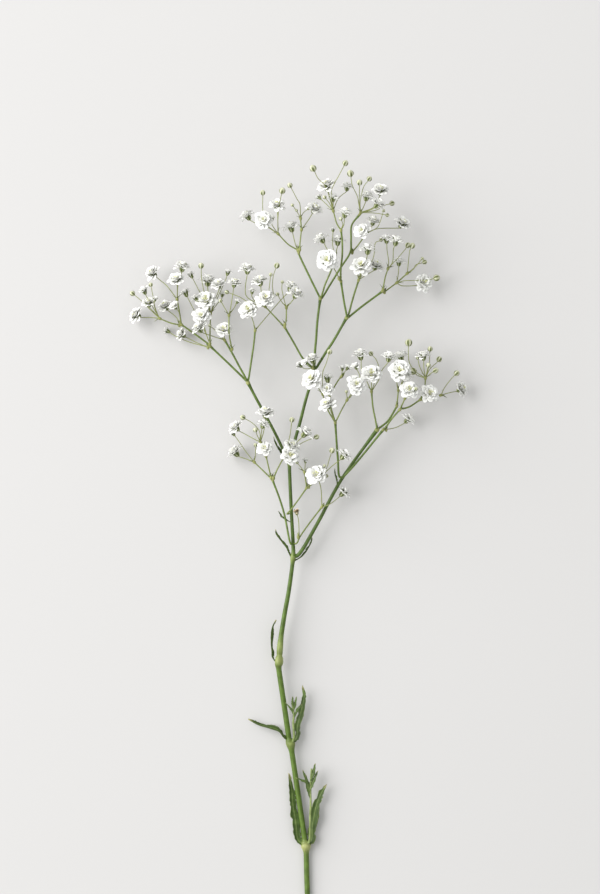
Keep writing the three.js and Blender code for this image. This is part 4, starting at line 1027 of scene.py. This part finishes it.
# %% The whorl group
def build_whorl():
    tree = tree_with("Whorl of shapes", [
        ("Part", "Int", 0), ("Shape", "Object", None), ("Copies", "Int", 1), ("Turn", "Float", 0.0),
        ("Inner Tilt", "Float", 0.0), ("Outer Tilt", "Float", 0.0), ("Jitter", "Float", 0.0),
        ("Lift", "Float", 0.0), ("Inner Size", "Float", 1.0), ("Outer Size", "Float", 1.0),
        ("Crumple", "Float", 0.0), ("Seed", "Int", SEED), ("Material", "Material", None)])
    given = tree.nodes["Group Input"].outputs
    points = only_part(tree, given["Geometry"], given["Part"])
    axis = stored(tree, "axis", "FLOAT_VECTOR")
    size = stored(tree, "size")
    lift = out(node(tree, "ShaderNodeVectorMath", {0: axis, "Scale": maths(
        tree, "MULTIPLY", size, given["Lift"])}, operation="SCALE"))
    raised = out(node(tree, "GeometryNodeSetPosition", {"Geometry": points, "Offset": lift}))
    copies = node(tree, "GeometryNodeDuplicateElements",
                  {"Geometry": raised, "Amount": given["Copies"]}, domain="POINT")
    rank = out(copies, "Duplicate Index")
    share = maths(tree, "DIVIDE", maths(tree, "ADD", rank, 0.5), given["Copies"])

    def between(low, high, seed_step):
        span = maths(tree, "MULTIPLY", maths(tree, "SUBTRACT", given[high], given[low]), share)
        value = maths(tree, "ADD", given[low], span)
        chance = out(node(tree, "FunctionNodeRandomValue", {
            "Min": -1.0, "Max": 1.0, "Seed": maths(tree, "ADD", given["Seed"], float(seed_step))}))
        return value, chance

    tilt, tilt_chance = between("Inner Tilt", "Outer Tilt", 1)
    tilt = maths(tree, "ADD", tilt, maths(tree, "MULTIPLY", tilt_chance, given["Jitter"]))
    grown, size_chance = between("Inner Size", "Outer Size", 2)
    grown = maths(tree, "MULTIPLY", grown, maths(tree, "ADD", 1.0, maths(
        tree, "MULTIPLY", size_chance, maths(tree, "MULTIPLY", given["Jitter"], 0.5))))
    spin = maths(tree, "ADD", stored(tree, "spin"), maths(tree, "MULTIPLY", rank, given["Turn"]))
    upright = out(node(tree, "FunctionNodeAlignRotationToVector", {"Vector": axis}, axis="Z"))

    def local_turn(rotation, about):
        angles = node(tree, "ShaderNodeCombineXYZ", about)
        turn = node(tree, "FunctionNodeEulerToRotation", {0: out(angles)})
        return out(node(tree, "FunctionNodeRotateRotation", {"Rotation": rotation, "Rotate By": out(turn)},
                        rotation_space="LOCAL"))

    rotation = local_turn(local_turn(upright, {"Z": spin}), {"Y": tilt})
    source = out(node(tree, "GeometryNodeObjectInfo", {"Object": given["Shape"]}), "Geometry")
    placed = out(node(tree, "GeometryNodeInstanceOnPoints", {
        "Points": out(copies), "Instance": source, "Rotation": rotation,
        "Scale": maths(tree, "MULTIPLY", size, grown)}))
    real = out(node(tree, "GeometryNodeRealizeInstances", {"Geometry": placed}))
    wave = node(tree, "ShaderNodeTexNoise", {"Scale": 520.0, "Detail": 1.0})
    push = node(tree, "ShaderNodeVectorMath", {0: out(wave, "Color"), 1: (0.5, 0.5, 0.5)},
                operation="SUBTRACT")
    ease = maths(tree, "MULTIPLY", stored(tree, "rise"), given["Crumple"])
    crumple = node(tree, "ShaderNodeVectorMath", {0: out(push), "Scale": ease}, operation="SCALE")
    crumpled = out(node(tree, "GeometryNodeSetPosition", {"Geometry": real, "Offset": out(crumple)}))
    painted = node(tree, "GeometryNodeSetMaterial", {"Geometry": crumpled, "Material": given["Material"]})
    tree.links.new(out(painted), tree.nodes["Group Output"].inputs[0])
    return tree


WHORL = build_whorl()
GOLDEN = math.radians(137.508)
print("whorl nodes", len(WHORL.nodes))

# %% [markdown]
# ## Two trees that grow a cluster
# The green tree makes the stalks, the joints, the bracts, the calyces and the buds. The white tree
# makes the petals and the centre of each flower. Keeping them apart gives each cluster two pieces, as
# one would sort them on a bench: the stalks with their cups, and the blossom.

# %% The cluster trees
def grow_tree(name, skin, whorls):
    """A tree that joins a skin, if there is one, and any number of whorls."""
    tree = tree_with(name, [("Sides", "Int", 8)])
    given = tree.nodes["Group Input"].outputs
    join = tree.nodes.new("GeometryNodeJoinGeometry")
    if skin:
        made = tree.nodes.new("GeometryNodeGroup")
        made.node_tree = SKIN
        made.inputs["Material"].default_value = skin
        tree.links.new(given["Geometry"], made.inputs["Geometry"])
        tree.links.new(given["Sides"], made.inputs["Sides"])
        tree.links.new(made.outputs[0], join.inputs[0])
    for values in whorls:
        made = tree.nodes.new("GeometryNodeGroup")
        made.node_tree = WHORL
        for label, value in values.items():
            made.inputs[label].default_value = value
        tree.links.new(given["Geometry"], made.inputs["Geometry"])
        tree.links.new(made.outputs[0], join.inputs[0])
    real = out(node(tree, "GeometryNodeRealizeInstances", {"Geometry": join.outputs[0]}))
    tree.links.new(real, tree.nodes["Group Output"].inputs[0])
    return tree


def petals(part, copies, tilts, sizes, lift, material, crumple=0.0007):
    return {"Part": part, "Shape": PETAL, "Copies": copies, "Turn": GOLDEN, "Inner Tilt": tilts[0],
            "Outer Tilt": tilts[1], "Jitter": 0.22, "Lift": lift, "Inner Size": sizes[0],
            "Outer Size": sizes[1], "Crumple": crumple, "Material": material}


def cups(part, size):
    return {"Part": part, "Shape": CALYX, "Inner Size": size, "Outer Size": size,
            "Material": SEPAL_GREEN}


GREEN_TREE = grow_tree("Green of a cluster", STEM_GREEN, [
    {"Part": FORK, "Shape": KNUCKLE, "Material": STEM_GREEN},
    {"Part": FORK, "Shape": BRACT, "Copies": 2, "Turn": math.pi, "Inner Tilt": 0.6, "Outer Tilt": 0.6,
     "Jitter": 0.25, "Inner Size": 2.1, "Outer Size": 2.1, "Material": SEPAL_GREEN},
    cups(OPEN, 1.12), cups(HALF, 1.3), cups(WITHERED, 1.2),
    {"Part": BUD, "Shape": BUD_SHAPE, "Material": BUD_CREAM},
])
WHITE_TREE = grow_tree("White of a cluster", None, [
    petals(OPEN, 32, (0.10, 1.16), (1.16, 1.26), 0.42, PETAL_WHITE, 0.0005),
    petals(HALF, 20, (0.02, 0.95), (1.2, 1.4), 0.6, PETAL_WHITE, 0.0005),
    petals(WITHERED, 12, (0.1, 1.3), (0.8, 0.9), 0.6, PETAL_FADED, 0.0012),
    {"Part": OPEN, "Shape": OVARY, "Lift": 0.62, "Material": CENTRE_GREEN},
    {"Part": OPEN, "Shape": STAMEN, "Copies": 7, "Turn": GOLDEN, "Inner Tilt": 0.1, "Outer Tilt": 0.5,
     "Jitter": 0.2, "Lift": 0.66, "Inner Size": 0.95, "Outer Size": 0.9, "Material": CENTRE_GREEN},
])
print("trees", GREEN_TREE.name, WHITE_TREE.name)

# %% [markdown]
# ## Growing the clusters
# Each skeleton is evaluated through a tree and the result is kept as a plain mesh, because a plain
# mesh can be measured, named and reused. The green piece stands for the plain cluster; the white one
# lies with it. Each is checked against the box of the plain cluster it covers.

# %% The clusters
def settle(obj, tree, **inputs):
    """Run a tree on an object and keep what it makes."""
    modifier = obj.modifiers.new("Grow", "NODES")
    modifier.node_group = tree
    sockets = {s.name: s.identifier for s in tree.interface.items_tree if s.in_out == "INPUT"}
    for label, value in inputs.items():
        modifier[sockets[label]] = value
    ready = obj.evaluated_get(bpy.context.evaluated_depsgraph_get())
    mesh = bpy.data.meshes.new_from_object(ready)
    obj.modifiers.clear()
    obj.data = mesh
    return obj


def copy_of(source, name):
    obj = bpy.data.objects.new(name, source.data.copy())
    bpy.context.scene.collection.objects.link(obj)
    return obj


def triangles(obj):
    return sum(len(p.vertices) - 2 for p in obj.data.polygons)


def offset_from(obj, node_name):
    """How far, in millimetres, a piece reaches past the plain solid that it covers."""
    low, high = [Vector(v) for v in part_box(node_name)]
    spots = [v.co for v in obj.data.vertices]
    past = [max(low[i] - min(s[i] for s in spots), max(s[i] for s in spots) - high[i])
            for i in range(3)]
    return round(max(past) / MM, 1)


total = 0
for name, bones in SKELETONS.items():
    green = settle(copy_of(bones, name + "_greens"), GREEN_TREE, Sides=8)
    green.data.attributes.remove(green.data.attributes["axis"])
    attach(green, BODY)
    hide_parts(name)
    total += triangles(green)
    line = [name, offset_from(green, name)]
    if any(head[1] != "bud" for head in CLUSTERS[name]["heads"]):
        white = settle(copy_of(bones, name + "_petals"), WHITE_TREE)
        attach(white, BODY)
        total += triangles(white)
        line.append(offset_from(white, name))
    print(*line)
print("cluster triangles", total)

# %% [markdown]
# ## Main stem and branches
# The stem swells at its three joints, each a cup-shaped ring where a pair of leaves sat, and a little
# at the two forks. Its cut end is plain and flat. The branches are skinned by the same group as the
# stalks, from one smooth curve each. A lathe could not follow these bends.

# %% Main stem and branches
def swell(y, at, half, size):
    return size * math.exp(-((y - at) / half) ** 2)


def stem_girth(y):
    radius = STEM_RADIUS * (1 if y < 90 else 1 - 0.36 * min(1, (y - 90) / 60))
    if y > 175:
        radius -= 0.12 * min(1, (y - 175) / 35)
    for at, wide in zip(JOINT_HEIGHTS, JOINT_RADII):
        radius += swell(y, at, 1.7, wide - STEM_RADIUS - 0.05)
        radius += swell(y, at + 1.7, 0.4, 0.22) - swell(y, at + 2.6, 0.5, 0.14)
    radius += 0.24 * swell(y, 100, 4, 1)
    for at in FORK_HEIGHTS:
        radius += swell(y, at, 1.6, 0.35)
    return radius


SKIN_TREE = grow_tree("Stalk with one joint", STEM_GREEN, [
    {"Part": FORK, "Shape": KNUCKLE, "Material": STEM_GREEN},
    {"Part": FORK, "Shape": BRACT, "Copies": 2, "Turn": math.pi, "Inner Tilt": 0.5, "Outer Tilt": 0.5,
     "Jitter": 0.2, "Inner Size": 1.6, "Outer Size": 1.6, "Material": SEPAL_GREEN}])


def skinned(name, line, girth_at, sides, pale_at=lambda u: 0.0):
    bones = Skeleton()
    bones.stalk(line, girth_at, pale_at)
    bones.point(line[-1], FORK, size=2.1 * girth_at(1), axis=(line[-1] - line[-4]).normalized(),
                spin=dice.uniform(0, math.tau))
    obj = settle(bones.build(name + "_skin"), SKIN_TREE, Sides=sides)
    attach(obj, BODY)
    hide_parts(name)
    print(name, triangles(obj), offset_from(obj, name))
    return obj


def stem_pale(y):
    return (0.85 * swell(y, 20.4, 2.0, 1) + 0.3 * swell(y, 61.8, 1.6, 1) + 0.45 * swell(y, 95.5, 2, 1)
            + 0.35 * swell(y, 100.5, 4, 1) + sum(0.3 * swell(y, at, 2, 1) for at in FORK_HEIGHTS))


stem_line = TRUNKS[0]


def stem_y(u):
    return stem_line[round(u * (len(stem_line) - 1))].y


skinned("main_stem", stem_line, lambda u: stem_girth(stem_y(u)), 24, lambda u: stem_pale(stem_y(u)))
for (name, (first, last, route)), line in zip(BRANCHES.items(), TRUNKS[1:]):
    skinned(name, line, swollen(first, last, 0.35, 0.4), 14)

# %% [markdown]
# ## Leaves and bracts
# A leaf here is narrow and fleshy, folded a little along its midrib, with a margin that wavers and
# is slightly rough. It is made as a grid of points across a smooth curve, front and back, closed at
# the margin, so that it has a real thickness. A flat card with a drawn outline would show no edge
# from the side.

# %% Leaves and bracts
TIP_POWER = 5
TIP_START = 0.94
BLADE_FULLNESS = 1.3
BLADE_ROLL = 0.75
LEAFLET_FULLNESS = 1.25
FOOT_DROP = Vector((0, 2.4, 0))


def noise_value(place):
    """A smooth wavering number from -1 to 1."""
    return wavering.noise(Vector(place))


def blade(width, roll, route, dice, rows=36, columns=8):
    """A closed leaf about a curve. roll turns it about its own length, in degrees."""
    curve = smooth(route, steps=12)
    phase = dice.uniform(0, 9)
    verts, rises, edges, grid = [], [], [], []
    for r in range(rows + 1):
        u = r / rows
        k = u * (len(curve) - 1)
        i = min(int(k), len(curve) - 2)
        spot = curve[i].lerp(curve[i + 1], k - i)
        along = (curve[i + 1] - curve[i]).normalized()
        side = Vector((0, 0, 1)).cross(along).normalized()
        side = Matrix.Rotation(math.radians(roll), 3, along) @ side
        face = side.cross(along)
        full = 0.25 + 0.75 * math.sin(math.pi * (0.08 + 0.84 * u)) * (1 - 0.6 * u ** TIP_POWER)
        half = width / 2 * full * (1 - 0.85 * max(0, (u - TIP_START) / (1 - TIP_START)))
        row = []
        for c in range(columns + 1):
            v = 2 * c / columns - 1
            wave = noise_value((u * 9 + phase, 2.0 + (v > 0) * 5, 0.3)) * abs(v) ** 2
            ripple = noise_value((u * 34 + phase, 4.0 + (v > 0) * 7, 1.3)) * abs(v) ** 3
            across = half * v * (1 + 0.5 * wave + 0.5 * ripple)
            lift = 0.18 * width * (v * v) + 0.2 * width * wave + 0.06 * width * ripple
            thick = (0.20 + 0.16 * math.exp(-(v / 0.22) ** 2)) * (1 - v * v) * min(1, width / 2)
            pair = []
            for sign in (1, -1):
                if sign == -1 and c in (0, columns):
                    pair.append(pair[0])
                    continue
                verts.append(to_scene(spot + side * across + face * (sign * thick - lift)))
                rises.append(u)
                edges.append(abs(v))
                pair.append(len(verts) - 1)
            row.append(pair)
        grid.append(row)
    faces = []
    for low, high in zip(grid, grid[1:]):
        for c in range(columns):
            faces.append((low[c][0], low[c + 1][0], high[c + 1][0], high[c][0]))
            faces.append((low[c][1], high[c][1], high[c + 1][1], low[c + 1][1]))
    for row, turn in ((grid[0], -1), (grid[-1], 1)):
        ring = [pair[0] for pair in row] + [pair[1] for pair in row[-2:0:-1]]
        faces.append(tuple(ring[::turn]))
    return verts, faces, rises, edges


def outward(obj):
    """Make every face look out."""
    work = bmesh.new()
    work.from_mesh(obj.data)
    bmesh.ops.recalc_face_normals(work, faces=work.faces)
    work.to_mesh(obj.data)
    work.free()


def ready(obj, stands_for, slot, material):
    obj.data.materials.append(material)
    outward(obj)
    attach(obj, BODY)
    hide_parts(stands_for)
    print(stands_for, triangles(obj), offset_from(obj, stands_for))


for name, (width, roll, route) in LEAVES.items():
    route = nearest(Vector(route[0]) - FOOT_DROP, TRUNKS) + route
    piece = shape(name + "_blade", *blade(width * BLADE_FULLNESS, BLADE_ROLL * roll, route, dice))
    ready(piece, name, "leaf_green", LEAF_GREEN)

# %% [markdown]
# ## Side shoots
# Two young shoots stand in the axils of the lower leaves. Each is a thin stalk with narrow leaflets
# and a few buds no bigger than a pinhead. Stalk, leaflets and buds are one piece, as they are on the
# plant.

# %% Side shoots
def joined(name, parts):
    """One mesh from several lists of points and faces."""
    verts, faces, rises, edges = [], [], [], []
    for part in parts:
        start = len(verts)
        verts += part[0]
        faces += [tuple(start + i for i in face) for face in part[1]]
        rises += part[2]
        edges += part[3]
    return shape(name, verts, faces, rises, edges)


def rod(route, first, last, sides=8):
    """A closed round stalk as points and faces."""
    line = smooth(route, steps=6)
    verts, faces = [], []
    for i, spot in enumerate(line):
        along = (line[min(i + 1, len(line) - 1)] - line[max(i - 1, 0)]).normalized()
        side = along.cross(Vector((0, 0, 1))).normalized()
        radius = first + (last - first) * i / (len(line) - 1)
        for k in range(sides):
            angle = math.tau * k / sides
            ring = side * math.cos(angle) + along.cross(side) * math.sin(angle)
            verts.append(to_scene(spot + ring * radius))
    for i in range(len(line) - 1):
        for k in range(sides):
            a, b = i * sides + k, i * sides + (k + 1) % sides
            faces.append((a, b, b + sides, a + sides))
    faces.append(tuple(range(sides))[::-1])
    faces.append(tuple(len(verts) - sides + k for k in range(sides)))
    return verts, faces, [0.5] * len(verts), [0.0] * len(verts)


def tiny_bud(place, radius):
    """A small closed pod of six sides."""
    rows = [(0, -1), (0.7, -0.6), (1, 0), (0.75, 0.7), (0, 1.1)]
    verts = [to_scene(Vector(place) + Vector((0, -radius, 0)))]
    for wide, high in rows[1:-1]:
        for k in range(6):
            angle = math.tau * k / 6
            verts.append(to_scene(Vector(place) + radius * Vector(
                (wide * math.cos(angle), high, wide * math.sin(angle)))))
    verts.append(to_scene(Vector(place) + Vector((0, 1.1 * radius, 0))))
    faces = [(0, 1 + (k + 1) % 6, 1 + k) for k in range(6)]
    for j in range(2):
        faces += [(1 + 6 * j + k, 1 + 6 * j + (k + 1) % 6, 7 + 6 * j + (k + 1) % 6, 7 + 6 * j + k)
                  for k in range(6)]
    faces += [(13 + k, 13 + (k + 1) % 6, 19) for k in range(6)]
    return verts, faces, [0.8] * len(verts), [0.5] * len(verts)


for name, parts in SHOOTS.items():
    foot = Vector(parts["stalk"][0]) - FOOT_DROP
    pieces = [rod(nearest(foot, TRUNKS) + parts["stalk"], 0.5, 0.34)]
    for width, route in parts["leaflets"]:
        pieces.append(blade(width * LEAFLET_FULLNESS, dice.uniform(-30, 30), route, dice, 16, 6))
    for width, route in parts["leaflets"][-2:]:
        pieces.append(tiny_bud(route[0], 0.45))
    ready(joined(name + "_growth", pieces), name, "leaf_green", LEAF_GREEN)

for helper in SHAPES + list(SKELETONS.values()):
    bpy.data.objects.remove(helper)

# %% [markdown]
# ## Floor, light and camera
# The sprig lies on a plain pale floor under a wide soft light from the upper left, with a bright room
# around it, so its shadows are faint and fall to the lower right. A hard lamp would draw every thread
# twice. The camera looks straight down from high above, which keeps the sprig free of perspective.

# %% Floor, light and camera
CAMERA_HEIGHT = 1.6
FIELD_HEIGHT = 0.3576
FLOOR_SIZE = 12

bpy.ops.mesh.primitive_plane_add(size=FLOOR_SIZE)
floor = bpy.context.object
floor.name = "pale_floor"
paint, _, paint_shader = new_material("pale_floor_paint", 0.9)
paint_shader.inputs["Base Color"].default_value = srgb("CECCCB")
floor.data.materials.append(paint)

scene = bpy.context.scene
world = bpy.data.worlds.new("bright_room")
world.use_nodes = True
world.node_tree.nodes["Background"].inputs["Color"].default_value = (0.98, 1.0, 0.99, 1)
world.node_tree.nodes["Background"].inputs["Strength"].default_value = 0.70
scene.world = world


def area_light(name, place, size, power, colour):
    light = bpy.data.lights.new(name, "AREA")
    light.shape = "DISK"
    light.size = size
    light.energy = power
    light.color = colour
    obj = bpy.data.objects.new(name, light)
    obj.location = place
    obj.rotation_euler = Vector(place).to_track_quat("Z", "Y").to_euler()
    obj.visible_camera = False
    scene.collection.objects.link(obj)
    return obj


key = area_light("window_light", (-1.85, 0.65, 1.3), 2.7, 84, (1.0, 1.0, 1.0))

camera = bpy.data.objects.new("camera", bpy.data.cameras.new("camera"))
camera.location = (0.0006, 0.0339, CAMERA_HEIGHT + 0.012)
camera.data.sensor_fit = "VERTICAL"
camera.data.sensor_height = 36
camera.data.lens = camera.data.sensor_height * CAMERA_HEIGHT / FIELD_HEIGHT
camera.data.clip_start = 0.05
scene.collection.objects.link(camera)
scene.camera = camera
scene.view_settings.view_transform = "Standard"
print("camera at", tuple(camera.location))
